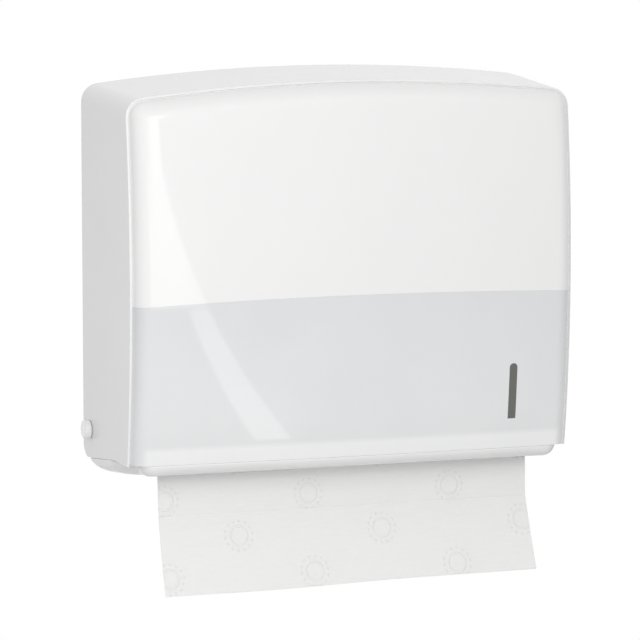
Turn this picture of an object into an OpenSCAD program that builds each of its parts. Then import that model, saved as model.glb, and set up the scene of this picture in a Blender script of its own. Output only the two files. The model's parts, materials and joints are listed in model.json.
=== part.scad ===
// Wall-mounted dispenser for folded paper towels.
// Millimetres. +X to the right seen from the front, +Y into the wall, +Z up.
// The origin is the centre of the four wall screws, on the wall plane.

/* [Wall plate] */
// Space between the wall and the cover's rear edge
wall_gap = 8; // [7:0.5:10]
// Space between the wall plate and the cover's side walls
plate_side_gap = 5.9; // [5:0.1:8]
// Distance of the wall screws from the plate's sides
screw_edge = 6; // [6:0.5:14]
// Distance between the wall screws, up and down
screw_span_z = 150; // [120:1:160]
// Bore for a wall screw
screw_hole_d = 5; // [4:0.1:6]
// Reach of the wall plate below the hinge axis
plate_below = 14.5; // [13:0.5:16]
// Depth of the wall plate from the wall
plate_d = 10; // [9:0.5:10.5]
// Thickness of the plate's skin and rim
plate_skin = 2.5; // [2:0.1:3]
// Thickness of the plate's ribs
rib_t = 2; // [1.5:0.1:2.5]

/* [Cover] */
// Width of the cover across its rear edge
cover_rear_w = 277.4; // [270:0.1:285]
// How far each side draws in from the rear edge to the rim
side_taper = 3.8; // [2:0.1:6]
// Depth from the cover's rear edge to its rim at mid height
cover_depth = 92.5; // [90:0.5:96]
// How far the rim falls back towards its ends
rim_bulge = 9; // [7:0.1:10]
// How far the rim leans forward towards the top
rim_lean = 3.9; // [2:0.1:5]
// Height of the rear top edge above the origin
cover_top = 114.2; // [112:0.1:118]
// Fall of the top from its rear edge to the rim
top_fall = 2.8; // [1:0.1:5]
// Radius of the arch across the top
arch_r = 1100; // [900:10:1400]
// Radius of the upper corners
corner_r = 11; // [10.6:0.1:13]
// Depth of the front lower edge below the origin
cover_drop = 107.4; // [104:0.1:110]
// How far the sides' lower edge lies below the window's foot near the rim
side_dip = 2.2; // [1.5:0.1:2.5]
// Length of the sloping rear part of the sides' lower edge
side_run = 58; // [54:0.5:62]
// Fall of that part towards the rear
side_fall = 7.2; // [6.5:0.1:7.5]
// Radius of the sides' lower rear corner
heel_r = 9; // [8:0.1:11]
// Wall of the cover
cover_wall = 2.8; // [2.2:0.1:3]
// Height of the ledge that the panels rest on
ledge_h = 2.6; // [1.5:0.1:2.8]

/* [Front panels] */
// Wall of the two front panels
panel_wall = 2.5; // [2:0.1:2.8]
// Width of the panels' rounded shoulder
shoulder_w = 8.5; // [7:0.1:8.5]
// Height of the panels' rounded shoulder
shoulder_h = 9.5; // [8:0.1:10]
// How far the rim stands proud of the shoulder's foot
rim_proud = 1.5; // [0.5:0.1:2.5]
// How far the face bows forward at the middle
face_bow = 2.5; // [1:0.1:4]
// Depth of the panels' skirt inside the rim
skirt_d = 6; // [4:0.1:7]
// Clearance of the panels in the cover
panel_fit = 0.1; // [0.05:0.01:0.2]
// Depth of the joint between the panels below the origin
split_drop = 14.6; // [10:0.1:30]
// Rise of that joint at the middle
split_arch = 2.9; // [1:0.1:6]
// Gap in that joint
split_gap = 0.2; // [0.1:0.05:0.4]

/* [Lower lip] */
// Distance of the lip's front corners from the rim's sides
lip_inset = 6.9; // [6.5:0.1:8]
// Width of the lip at the front
lip_w = 11; // [9:0.1:11.5]
// Width of the lip at its rear ends
lip_rear_w = 2.8; // [2.4:0.1:3]
// Height of the lip at the front
lip_h = 6.6; // [6:0.1:7]
// Width of the lip's rounded underside, as a share of the lip's width
lip_round = 0.88; // [0.6:0.01:0.95]
// Radius of the lip's front corners seen from above
lip_corner_r = 8.5; // [7:0.1:10]
// Fall of the lip's lower edge towards the rear, for each millimetre
lip_slope = 0.105; // [0.1:0.005:0.115]
// Rise of the lip's lower edge at its rear ends
lip_heel_h = 6.5; // [5:0.1:6.8]
// Length of that rise
lip_heel_l = 40; // [30:0.5:44]
// How far the lip lies behind the window's face
lip_set = 0.3; // [0:0.1:1]
// Seam between the lip and the cover
lip_seam = 0.1; // [0.05:0.01:0.2]

/* [Sight slot] */
// Distance of the slot's middle from the rim's right edge
slot_edge = 38.3; // [32:0.1:50]
// Width of the slot
slot_w = 4.9; // [4:0.1:8]
// Height of the slot
slot_h = 33.5; // [20:0.5:38]
// Depth of the slot's lower end below the origin
slot_drop = 89.8; // [86:0.1:92]
// Clearance of the lens in the slot
lens_fit = 0.08; // [0.05:0.01:0.15]
// Border of the lens behind the panel
lens_flange = 2.5; // [1.5:0.1:4]

/* [Hinge] */
// Distance of the hinge axis from the wall
hinge_off = 20.8; // [20.4:0.1:22]
// Height of the hinge axis above the cover's front lower edge
hinge_rise = 9.9; // [9:0.1:11]
// Diameter of the hinge pins
pin_d = 8; // [6:0.1:9]
// Running clearance of the pins in the cover
pin_fit = 0.05; // [0.02:0.01:0.1]
// Diameter of the pin heads
head_d = 11.4; // [11:0.1:14]
// Thickness of the pin heads
head_t = 3.6; // [3:0.1:5]
// Clearance between a pin head and the cover
head_gap = 0.6; // [0.5:0.1:0.8]
// Thickness of the hinge ears
ear_t = 6.6; // [5:0.1:7]
// Thickness of the hinge washers
washer_t = 0.8; // [0.6:0.05:0.9]
// Side play between a washer and the cover
hinge_play = 0.75; // [0.6:0.05:0.9]

/* [Tray] */
// Space between the tray's front and the cover's side walls
tray_side_gap = 0.5; // [0.5:0.1:3]
// How much wider the tray is at its rear, on each side
tray_spread = 1.7; // [1:0.1:2]
// How far the tray's front stands ahead of the cover's lower rim
tray_ahead = 2; // [0:0.1:2.3]
// Height of the tray's lower front edge above the cover's front edge
tray_rise = 0.8; // [0.6:0.1:1.2]
// Fall of the tray's lower edge from the front to the rear
tray_fall = 1; // [0.5:0.1:1.5]
// Radius of the tray's front corners seen from above
tray_corner_r = 13; // [13:0.1:16]
// Roundness of the tray's lower front edge
tray_edge_r = 2; // [1:0.1:3]
// Roundness of the tray's lower rear edge
tray_heel_r = 5; // [4:0.1:6]
// Height of the tray's floor above the cover's front edge
floor_rise = 4.4; // [4:0.1:5.5]
// Height of the tray's front wall above its floor
tray_wall_h = 5; // [3:0.1:6]
// Wall of the tray
tray_wall = 2.5; // [2:0.1:3]
// Space beside the towels in the mouth
mouth_side = 3; // [2:0.1:4]
// Depth of the mouth, front to back
mouth_d = 16; // [12:0.5:18]
// Thickness of the bar between the mouth and the tray's front
mouth_bar = 8; // [6:0.5:10]

/* [Towels] */
// Distance from the tray's side to the towels
towel_inset = 17.6; // [16:0.1:20]
// Depth of the folded pack
pack_d = 74; // [66:0.5:74]
// Height of the pack on the tray
pack_h = 100; // [40:1:106]
// Sideways place of the pack
pack_x = 0.8; // [-1:0.1:1.5]
// Thickness of the hanging towel's solid
sheet_t = 1; // [0.6:0.1:1.6]
// Length of the hanging towel down to its fold
sheet_upper = 38; // [30:0.5:50]
// Length of the hanging towel below its fold
sheet_lower = 47; // [35:0.5:60]
// Lean of the part below the fold
sheet_lean = 23; // [5:0.5:35]

/* [Stack guides] */
// Thickness of the stack guides
guide_t = 2; // [1.6:0.1:2.5]
// Reach of the guides from the wall plate
guide_reach = 62; // [40:1:66]
// Height of the guides
guide_h = 118; // [100:1:130]
// Width of the guides' rear flange
guide_flange = 17; // [14:0.5:22]
// Space between the pack and a guide
guide_gap = 1.5; // [1:0.1:2]

/* [Latch] */
// Width of the latch bolt
bolt_w = 24; // [20:0.5:28]
// Thickness of the latch bolt
bolt_t = 3; // [2.5:0.1:3.5]
// Height of the latch bolt's body
bolt_h = 17.5; // [15:0.5:20]
// Travel of the latch bolt
bolt_travel = 5.5; // [5:0.1:5.8]
// Width of the release tab
tab_w = 12; // [8:0.5:14]
// Length of the catch lug below the cover's top
lug_h = 8.6; // [8:0.1:9]
// Thickness of the catch lug
lug_t = 2.5; // [2:0.1:2.8]
// Wire of the latch spring
wire_d = 0.8; // [0.6:0.05:1]
// Outer diameter of the latch spring
spring_d = 7; // [6:0.1:8]
// Turns of the latch spring
spring_turns = 6; // [4:1:8]
// Length of the latch spring
spring_l = 18; // [16:0.5:22]

/* [Screws] */
// Diameter of the assembly screws
screw_d = 3; // [2.5:0.1:3.5]
// Diameter of their heads
screw_head_d = 6; // [5:0.1:7]
// Height of their heads
screw_head_h = 1.8; // [1.4:0.1:2.2]
// Length of their shanks
screw_l = 7; // [6:0.5:7]

/* [Hidden] */

// Clear space between neighbours that don't touch
clear = 0.5;
// Small overlap that lets cuts run past a face
eps = 1;

// The rim's depth follows a gentle curve about this height, over this half height
rim_mid_z = -27;
rim_half_z = 110;
rear_hw = cover_rear_w / 2;
front_hw = rear_hw - side_taper;
rim_top = cover_top - top_fall;
draft = side_taper / cover_depth;
cover_bottom = -cover_drop;
hinge_y = -hinge_off;
hinge_z = cover_bottom + hinge_rise;
rear_y = -wall_gap;
plate_y = -plate_d;

function rim_d(z) =
    let (u = (z - rim_mid_z) / rim_half_z)
    cover_depth + rim_lean * u - rim_bulge * u * u;
function rim_y(z) = rear_y - rim_d(z);
function mix(a, b, t) = a + (b - a) * t;
function side_hw(y) = rear_hw - draft * (rear_y - y);

// Within this radius of the hinge axis the cover's walls are bare inside, so that they swing past the tray
tray_front = rim_y(cover_bottom) - tray_ahead;
swing_room = 10;
swing_r = hinge_y - tray_front + swing_room;
function in_swing(y, z) = norm([y - hinge_y, z - hinge_z]) < swing_r;

// Centre height of an upper corner's arc, and the angle at which it meets the arch
function corner_z(hw, top) = top - arch_r + sqrt(pow(arch_r - corner_r, 2) - pow(hw - corner_r, 2));
function meet_angle(hw) = 90 + asin((hw - corner_r) / (arch_r - corner_r));

// Points of an upper left corner's arc from angle a to angle b, drawn in by inset
function corner_arc(hw, top, inset, a, b, steps) =
    [for (k = [0:steps])
        let (ang = mix(a, b, k / steps), r = corner_r - inset)
        [-(hw - corner_r) + r * cos(ang), corner_z(hw, top) + r * sin(ang)]];

// Points along the arch, without its ends
function arch_points(hw, top, inset, steps) =
    [for (k = [1:steps - 1])
        let (ang = mix(meet_angle(hw), 180 - meet_angle(hw), k / steps))
        [(arch_r - inset) * cos(ang), top - arch_r + (arch_r - inset) * sin(ang)]];

function mirrored(points) = [for (k = [len(points) - 1:-1:0]) [-points[k][0], points[k][1]]];

// The cover's outline from its lower left end over the top to its lower right end
side_steps = 14;
corner_steps = 10;
arch_steps = 22;
outline_low = cover_bottom - side_dip - 2 * side_fall;
function outline(hw, top, inset, ledge = 0) =
    let (side = [for (k = [0:side_steps - 1])
                    let (z = mix(outline_low, corner_z(hw, top), k / side_steps),
                         rise = in_swing(rim_y(z) + ledge_y, z) ? 0 : ledge)
                    [-(hw - inset - rise), z]],
         arc = corner_arc(hw, top, inset + ledge, 180, meet_angle(hw), corner_steps),
         left = concat(side, arc))
    concat(left, arch_points(hw, top, inset + ledge, arch_steps), mirrored(left));

// Cover frame: one wall section swept along the outline, from the rear edge to the rim
rim_edge = 0.7;
ledge_t = 2;
ledge_y = skirt_d + panel_fit / 2;
function frame_section(k, rear, front, rear_in, front_edge, front_in, front_ledge) =
    let (y = rim_y(front[k][1]),
         depth = rear_y - y,
         at = function (back) back / depth)
    [[rear[k][0], rear_y, rear[k][1]],
     [front[k][0], y + rim_edge, front[k][1]],
     [front_edge[k][0], y, front_edge[k][1]],
     [front_in[k][0], y, front_in[k][1]],
     let (p = mix(front_in[k], rear_in[k], at(ledge_y))) [p[0], y + ledge_y, p[1]],
     [front_ledge[k][0], y + ledge_y, front_ledge[k][1]],
     [front_ledge[k][0], y + ledge_y + ledge_t, front_ledge[k][1]],
     let (p = mix(front_in[k], rear_in[k], at(ledge_y + ledge_t + ledge_h)))
        [p[0], y + ledge_y + ledge_t + ledge_h, p[1]],
     [rear_in[k][0], rear_y, rear_in[k][1]]];

module swept(sections) {
    rows = len(sections);
    cols = len(sections[0]);
    points = [for (s = sections) each s];
    strips = [for (r = [0:rows - 2]) for (c = [0:cols - 1])
        let (a = r * cols + c, b = r * cols + (c + 1) % cols)
        each [[a, b, a + cols], [b, b + cols, a + cols]]];
    first = [for (c = [cols - 1:-1:0]) c];
    last = [for (c = [0:cols - 1]) (rows - 1) * cols + c];
    polyhedron(points, concat([first], strips, [last]), convexity = 10);
}

module frame_shell() {
    rear = outline(rear_hw, cover_top, 0);
    front = outline(front_hw, rim_top, 0);
    rear_in = outline(rear_hw, cover_top, cover_wall);
    front_edge = outline(front_hw, rim_top, rim_edge);
    front_in = outline(front_hw, rim_top, cover_wall);
    front_ledge = outline(front_hw, rim_top, cover_wall, ledge_h);
    swept([for (k = [len(rear) - 1:-1:0])
        frame_section(k, rear, front, rear_in, front_edge, front_in, front_ledge)]);
}

// Side view of the cover: the lower edge, level near the rim and sloping behind, and its round heel
rim_low = rim_y(cover_bottom);
side_low = cover_bottom - side_dip;
level_y = rear_y - side_run;
side_slope = side_fall / side_run;
function side_edge(y) = side_low - side_slope * max(0, y - level_y);
module cover_profile() {
    ang = atan(side_slope);
    heel_y = rear_y - heel_r;
    heel_z = side_edge(heel_y) + heel_r / cos(ang);
    heel = [for (k = [0:corner_steps])
        let (a = mix(-90 - ang, 0, k / corner_steps))
        [heel_y + heel_r * cos(a), heel_z + heel_r * sin(a)]];
    front = rim_y(rim_mid_z) - 3 * shoulder_h;
    polygon(concat(heel, [[rear_y, cover_top + eps], [front, cover_top + eps],
                          [front, side_low], [level_y, side_low]]));
}

// Turns a side view, drawn as depth and height, into a solid of width w about the middle
module across(w) {
    rotate([90, 0, 90]) linear_extrude(w, center = true) children();
}

// A round bar along X between two places
module bar_x(r, x0, x1) {
    translate([min(x0, x1), 0, 0]) rotate([0, 90, 0]) cylinder(r = r, h = abs(x1 - x0), $fn = 48);
}

// A round bar along Y, from the wall side forwards
module bar_y(r, y0, y1) {
    translate([0, max(y0, y1), 0]) rotate([90, 0, 0]) cylinder(r = r, h = abs(y1 - y0), $fn = 48);
}

module block(x0, x1, y0, y1, z0, z1) {
    translate([min(x0, x1), min(y0, y1), min(z0, z1)])
        cube([abs(x1 - x0), abs(y1 - y0), abs(z1 - z0)]);
}

// Catch lug under the cover's top, and the latch that it meets
lug_edge = 1;
lug_front = rear_y - lug_edge - lug_t;
lug_low = cover_top - cover_wall - lug_h;
lug_w = 18;
bolt_back = lug_front - clear;
bolt_front = bolt_back - bolt_t;
bolt_grip = bolt_travel - 2 * clear;
bolt_nose_top = lug_low + bolt_grip;
bolt_nose_w = 16;
web_room = 3.5;
web_top = lug_low - web_room;
web_t = 3;
bolt_low = web_top - bolt_h;
tab_back = -3;
tab_t = 3;
tab_sink = 2.5;

module cover_frame() {
    color([0.93, 0.93, 0.92]) {
        difference() {
            intersection() {
                frame_shell();
                across(2 * cover_rear_w) cover_profile();
            }
            translate([0, hinge_y, hinge_z]) bar_x(pin_d / 2 + pin_fit, -cover_rear_w, cover_rear_w);
        }
        block(-lug_w / 2, lug_w / 2, lug_front, lug_front + lug_t,
              lug_low, cover_top - cover_wall / 2 - eps / 2);
    }
}

// Front panels: a grid of points blended between four edges, with a rounded shoulder at the sides and top
panel_hw = front_hw - cover_wall - panel_fit;
panel_cols = 16;
panel_rows = 14;
arc_steps = 8;
shoulder_over = 0.7;
skirt_stub = 0.3;
function skirt_at(z) = in_swing(rim_y(z) + skirt_d, z) ? rim_proud + skirt_stub : skirt_d;

// Distance of a point inside the panels' outline
function edge_distance(x, z, inset) =
    let (cz = corner_z(front_hw, rim_top),
         cx = front_hw - corner_r,
         ax = abs(x),
         lost = cover_wall + panel_fit + inset)
    (ax > cx && z > cz)
        ? corner_r - norm([ax - cx, z - cz]) - lost
        : min(front_hw - ax, arch_r - norm([x, z - rim_top + arch_r])) - lost;

// Rise of the face over the shoulder's foot
function shoulder(e, w, h) = e >= w ? h : h * sqrt(max(0, 1 - pow(1 - max(e, 0) / w, 2)));
function face_y(x, z, inset) =
    let (w = shoulder_w - inset, h = shoulder_h - inset, s = shoulder(edge_distance(x, z, inset), w, h))
    rim_y(z) + rim_proud - s - face_bow * (1 - pow(x / front_hw, 2)) * s / h;

// Column places across a panel, finer over the shoulders
function columns(hw) =
    let (left = [for (k = [0:arc_steps]) -hw + (1 - cos(90 * k / arc_steps)) * (shoulder_w + shoulder_over)],
         inner = [for (k = [1:panel_cols - 1]) mix(left[arc_steps], -left[arc_steps], k / panel_cols)])
    concat(left, inner, [for (k = [arc_steps:-1:0]) -left[k]]);

function split_z(x, side) =
    -split_drop + split_arch * (1 - pow(x / front_hw, 2)) + side * split_gap / 2;

// Left edge and top edge of the upper panel; the two meet halfway round the corner
function upper_left(hw, inset) =
    let (mid = (180 + meet_angle(front_hw)) / 2, low = split_z(hw, 1), high = corner_z(front_hw, rim_top))
    concat([for (k = [0:panel_rows - 1]) [-hw, mix(low, high, k / panel_rows)]],
           corner_arc(front_hw, rim_top, inset, 180, mid, arc_steps));
function upper_top(inset) =
    let (mid = (180 + meet_angle(front_hw)) / 2,
         arc = corner_arc(front_hw, rim_top, inset, mid, meet_angle(front_hw), arc_steps))
    concat(arc, arch_points(front_hw, rim_top, inset, panel_cols), mirrored(arc));

// Blends four edges into a grid of [x, z] points
function patch(left, right, low, high) =
    let (n = len(left) - 1, m = len(low) - 1)
    [for (i = [0:n]) [for (j = [0:m])
        let (v = (left[i][1] - left[0][1]) / (left[n][1] - left[0][1]),
             u = (low[j][0] - low[0][0]) / (low[m][0] - low[0][0]))
        mix(low[j], high[j], v) + mix(left[i], right[i], u)
            - mix(mix(low[0], low[m], u), mix(high[0], high[m], u), v)]];

// A panel's shell between its outer grid and its inner grid, with a skirt along the sides and top
module panel_shell(outer, inner, skirt_top) {
    n = len(outer) - 1;
    m = len(outer[0]) - 1;
    cell = function (i, j) i * (m + 1) + j;
    count = (n + 1) * (m + 1);
    skin = function (grid, inset) [for (row = grid) for (p = row) [p[0], face_y(p[0], p[1], inset), p[1]]];
    loop = concat([for (j = [0:m - 1]) [0, j]], [for (i = [0:n - 1]) [i, m]],
                  [for (j = [m:-1:1]) [n, j]], [for (i = [n:-1:1]) [i, 0]]);
    skirted = function (q) q[1] == 0 || q[1] == m || (skirt_top && q[0] == n);
    place = function (grid, inset, q)
        let (p = grid[q[0]][q[1]]) [p[0], face_y(p[0], p[1], inset), p[1]];
    foot = function (grid, q)
        let (p = grid[q[0]][q[1]]) [p[0], rim_y(p[1]) + skirt_at(p[1]), p[1]];
    foot_out = [for (q = loop) skirted(q) ? foot(outer, q)
        : mix(place(outer, 0, q), place(inner, panel_wall, q), 1 / 3)];
    foot_in = [for (q = loop) skirted(q) ? foot(inner, q)
        : mix(place(outer, 0, q), place(inner, panel_wall, q), 2 / 3)];
    rim = len(loop);
    points = concat(skin(outer, 0), skin(inner, panel_wall), foot_out, foot_in);
    front_faces = [for (i = [0:n - 1]) for (j = [0:m - 1])
        each [[cell(i, j), cell(i + 1, j), cell(i + 1, j + 1)],
              [cell(i, j), cell(i + 1, j + 1), cell(i, j + 1)]]];
    back_faces = [for (i = [0:n - 1]) for (j = [0:m - 1])
        each [[count + cell(i, j), count + cell(i + 1, j + 1), count + cell(i + 1, j)],
              [count + cell(i, j), count + cell(i, j + 1), count + cell(i + 1, j + 1)]]];
    ring = [[for (q = loop) cell(q[0], q[1])],
            [for (k = [0:rim - 1]) 2 * count + k],
            [for (k = [0:rim - 1]) 2 * count + rim + k],
            [for (q = loop) count + cell(q[0], q[1])]];
    edge_faces = [for (s = [0:2]) for (k = [0:rim - 1])
        let (t = (k + 1) % rim)
        each [[ring[s][k], ring[s][t], ring[s + 1][t]], [ring[s][k], ring[s + 1][t], ring[s + 1][k]]]];
    polyhedron(points, concat(front_faces, back_faces, edge_faces), convexity = 10);
}

function upper_grid(inset) =
    let (hw = panel_hw - inset,
         left = upper_left(hw, cover_wall + panel_fit + inset),
         right = [for (p = left) [-p[0], p[1]]],
         low = [for (x = columns(hw)) [x, split_z(x, 1)]],
         low_fit = [for (k = [0:len(low) - 1])
            k == 0 ? left[0] : k == len(low) - 1 ? right[0] : low[k]])
    patch(left, right, low_fit, upper_top(cover_wall + panel_fit + inset));

module front_panel() {
    color([0.95, 0.95, 0.94]) panel_shell(upper_grid(0), upper_grid(panel_wall), true);
}

function lower_grid(inset) =
    let (hw = panel_hw - inset, xs = columns(hw))
    [for (k = [0:panel_rows]) [for (x = xs) [x, mix(cover_bottom, split_z(x, -1), k / panel_rows)]]];

// The slot's frame lies on the face, with its own Y along the face's outward normal
slot_over = 4;
slot_x = front_hw - slot_edge;
slot_mid_z = -slot_drop + slot_h / 2;
slot_face_y = face_y(slot_x, slot_mid_z, 0);
slot_tilt = atan((face_y(slot_x, slot_mid_z + 1, 0) - face_y(slot_x, slot_mid_z - 1, 0)) / 2);

module at_slot() {
    translate([slot_x, slot_face_y, slot_mid_z]) rotate([-slot_tilt, 0, 0]) children();
}

// Slot shape with a round top and a flat foot, drawn in by inset
module slot_shape(inset) {
    r = slot_w / 2 - inset;
    translate([-r, -slot_h / 2 + inset]) square([2 * r, slot_h - slot_w / 2 - inset]);
    translate([0, slot_h / 2 - slot_w / 2]) circle(r = r, $fn = 40);
}

module slot_solid(inset, front, depth) {
    translate([0, front + depth, 0]) rotate([90, 0, 0]) linear_extrude(depth) slot_shape(inset);
}

module window_panel() {
    color([0.86, 0.88, 0.9, 0.8]) difference() {
        panel_shell(lower_grid(0), lower_grid(panel_wall), false);
        at_slot() slot_solid(0, -slot_over, panel_wall + 2 * slot_over);
    }
}

lens_sink = 0.2;
lens_back = 0.5;
lens_t = 1.2;
module sight_lens() {
    color([0.42, 0.42, 0.4]) at_slot() {
        slot_solid(lens_fit, lens_sink, panel_wall + lens_back + lens_t - lens_sink);
        translate([0, panel_wall + lens_back, 0]) slot_solid(-lens_flange, 0, lens_t);
    }
}

// Lower lip: a bar with a rounded underside, round the sides and front of the mouth below the cover
lip_side_steps = 14;
lip_corner_steps = 8;
lip_front_steps = 14;
lip_under_steps = 6;
lip_thin_l = 36;
lip_tuck = 14;
lip_least = 0.5;
lip_rear_in = 0.3;
lip_x = front_hw - lip_inset;
lip_cx = lip_x - lip_corner_r;
function lip_y(x) =
    rim_low + rim_proud - shoulder_h - face_bow * (1 - pow(x / front_hw, 2)) + lip_set;
lip_cy = lip_y(lip_cx) + lip_corner_r;
lip_end = hinge_y - lip_seam;

// Upper edge: under the window's foot in front, tucked inside the sides, then under the sides' sloping edge
function lip_top(y) =
    let (t = min(1, max(0, (y - level_y) / lip_tuck)))
    mix(cover_bottom, side_edge(y), t) - lip_seam;
function lip_depth(y) =
    let (u = min(1, max(0, (y - lip_end + lip_heel_l) / lip_heel_l)),
         rise = lip_heel_h * (1 - sqrt(1 - u * u)),
         low = cover_bottom - lip_h - lip_slope * (y - lip_y(lip_cx)) + rise)
    max(lip_least, lip_top(y) - low);
function lip_reach(y) =
    mix(lip_rear_w, lip_w, pow(min(1, max(0, (lip_end - y) / lip_thin_l)), 1.5));

// The lip's outer edge seen from above, from its right end to its left end: place, outward side and width
lip_half = concat(
    [for (k = [0:lip_side_steps - 1])
        let (t = k / lip_side_steps, y = mix(lip_end, lip_cy, t))
        [mix(side_hw(lip_end) - lip_rear_in, lip_x, t), y, 1, 0, lip_reach(y)]],
    [for (k = [0:lip_corner_steps])
        let (a = 90 * k / lip_corner_steps, c = lip_corner_r * cos(a), s = lip_corner_r * sin(a))
        [lip_cx + c, lip_cy - s, cos(a), -sin(a), lip_corner_r - clear]]);
lip_path = concat(
    lip_half,
    [for (k = [1:lip_front_steps - 1])
        let (x = mix(lip_cx, -lip_cx, k / lip_front_steps))
        [x, lip_y(x), 0, -1, lip_w]],
    [for (k = [len(lip_half) - 1:-1:0])
        let (p = lip_half[k])
        [-p[0], p[1], -p[2], p[3], p[4]]]);

// One section of the lip: the rounded underside, then the flat foot and the inner side
function lip_section(p) =
    let (at = function (run, share)
            let (y = p[1] - p[3] * run)
            [p[0] - p[2] * run, y, lip_top(y) - lip_depth(y) * share])
    concat([for (k = [0:lip_under_steps])
               let (a = 90 * k / lip_under_steps)
               at(lip_round * p[4] * (1 - cos(a)), sin(a))],
           [at(p[4], 1), at(p[4], 0)]);

module lower_lip() {
    color([0.93, 0.93, 0.92]) swept([for (p = lip_path) lip_section(p)]);
}

// Wall plate
boss_r = 6;
ear_r = 9;
plate_half_w = rear_hw - cover_wall - plate_side_gap;
plate_top = lug_low - 2 * clear;
plate_bottom = hinge_z - plate_below;
plate_corner = 14;
screw_span_x = 2 * (plate_half_w - screw_edge);
ear_out = side_hw(hinge_y) - cover_wall - washer_t - hinge_play;
ear_in = ear_out - ear_t;
floor_z = cover_bottom + floor_rise;
tray_low = cover_bottom + tray_rise;
tray_half_w = front_hw - cover_wall - tray_side_gap;
towel_w = 2 * (tray_half_w - towel_inset);
mouth_w = towel_w + 2 * mouth_side;
seat_gap = 0.1;
tray_rear = plate_y - seat_gap;
tray_screw_x = tray_half_w * 5 / 8;
tray_screw_rise = 6.5;
tray_screw_z = floor_z + tray_screw_rise;
tray_back_top = tray_screw_z + screw_head_d;
guide_low = tray_back_top + clear;
guide_screw_z = [guide_low + guide_h / 4, guide_low + guide_h * 0.85];
guide_x = towel_w / 2 + abs(pack_x) + guide_gap;
guide_screw_x = guide_x - guide_flange / 2;
latch_boss_r = 4;
latch_boss_x = bolt_w / 2 + 2 * latch_boss_r;
latch_boss_z = bolt_low + latch_boss_r + 2 * clear;
latch_gap = 0.3;
latch_plate_y = bolt_front - latch_gap;
spring_seat = 0.2;
spring_top = bolt_low - spring_seat;
spring_low = spring_top - spring_l;
spring_y = (bolt_back + bolt_front) / 2;
pilot_gap = 0.05;
pilot_r = screw_d / 2 + pilot_gap;
screw_room = 0.2;
pass_r = screw_d / 2 + screw_room;

module plate_shape(inset) {
    r = plate_corner - inset;
    w = plate_half_w - inset;
    low = plate_bottom + inset;
    high = plate_top - inset;
    translate([-w, low]) square([2 * w, high - low - r]);
    translate([-(w - r), low]) square([2 * (w - r), high - low]);
    for (s = [-1, 1]) translate([s * (w - r), high - r]) circle(r = r, $fn = 64);
}

// A flat shape drawn as width and height, made into a plate between two depths
module upright(y0, y1) {
    translate([0, max(y0, y1), 0]) rotate([90, 0, 0]) linear_extrude(abs(y1 - y0)) children();
}

module wall_bosses(r, y0, y1) {
    for (sx = [-1, 1], sz = [-1, 1])
        translate([sx * screw_span_x / 2, 0, sz * screw_span_z / 2]) bar_y(r, y0, y1);
}

module screw_places(which) {
    if (which == "tray") for (s = [-1, 1]) translate([s * tray_screw_x, 0, tray_screw_z]) children();
    if (which == "guide") for (s = [-1, 1], z = guide_screw_z)
        translate([s * guide_screw_x, 0, z]) children();
    if (which == "latch") for (s = [-1, 1]) translate([s * latch_boss_x, 0, latch_boss_z]) children();
}

module hinge_ear(s) {
    mid = s * (ear_in + ear_out) / 2;
    translate([mid, 0, 0]) across(ear_t) {
        translate([hinge_y, hinge_z]) circle(r = ear_r, $fn = 64);
        translate([hinge_y, hinge_z - ear_r]) square([-hinge_y, 2 * ear_r]);
    }
}

module back_plate() {
    rib_x = [for (k = [-3:2:3]) k * screw_span_x / 8];
    rib_z = [for (k = [-1:1]) k * screw_span_z / 2];
    notch_w = tab_w + 4;
    notch_low = web_top - web_t - bolt_travel - clear;
    rail_t = 2;
    rail_h = notch_low + 2 * web_t;
    shelf_t = 3;
    shelf_w = spring_d + 2;
    root_y = plate_y + plate_skin / 2;
    color([0.9, 0.9, 0.89]) difference() {
        union() {
            difference() {
                upright(0, plate_y) plate_shape(0);
                upright(eps, plate_y + plate_skin) plate_shape(plate_skin);
            }
            intersection() {
                upright(0, root_y) plate_shape(0);
                union() {
                    for (x = rib_x) block(x - rib_t / 2, x + rib_t / 2, 0, plate_y, plate_bottom, plate_top);
                    for (z = rib_z)
                        block(-plate_half_w, plate_half_w, 0, plate_y, z - rib_t / 2, z + rib_t / 2);
                    wall_bosses(boss_r, 0, plate_y);
                    screw_places("tray") bar_y(boss_r - 1, -1, plate_y);
                    screw_places("guide") bar_y(boss_r - 1, -1, plate_y);
                    block(-notch_w / 2 - plate_skin, notch_w / 2 + plate_skin, 0, plate_y,
                          notch_low - plate_skin, plate_top);
                }
            }
            for (s = [-1, 1]) hinge_ear(s);
            screw_places("latch") bar_y(latch_boss_r, root_y, latch_plate_y);
            for (s = [-1, 1])
                block(s * (bolt_w / 2 + latch_gap), s * (bolt_w / 2 + latch_gap + rail_t),
                      root_y, bolt_back - bolt_t / 2, bolt_low, rail_h);
            block(-shelf_w / 2, shelf_w / 2, root_y, spring_y - shelf_w / 2,
                  spring_low - shelf_t, spring_low);
            translate([0, spring_y, spring_low - eps])
                cylinder(r = spring_d / 2 - wire_d - clear, h = spring_l / 2 + eps, $fn = 40);
        }
        wall_bosses(screw_hole_d / 2, eps, plate_y - eps);
        screw_places("tray") bar_y(pilot_r, plate_y + screw_l, plate_y - eps);
        screw_places("guide") bar_y(pilot_r, plate_y + screw_l, plate_y - eps);
        screw_places("latch") bar_y(pilot_r, latch_plate_y + screw_l, latch_plate_y - eps);
        block(-notch_w / 2, notch_w / 2, eps, plate_y - eps, notch_low, plate_top + eps);
        translate([0, hinge_y, hinge_z]) bar_x(pin_d / 2 + pin_fit, -cover_rear_w, cover_rear_w);
    }
}

// Paper tray
floor_t = 2.5;
mouth_front = tray_front + mouth_bar;
mouth_back = mouth_front + mouth_d;
tray_ramp = 6;
tray_steps = 12;

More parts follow.
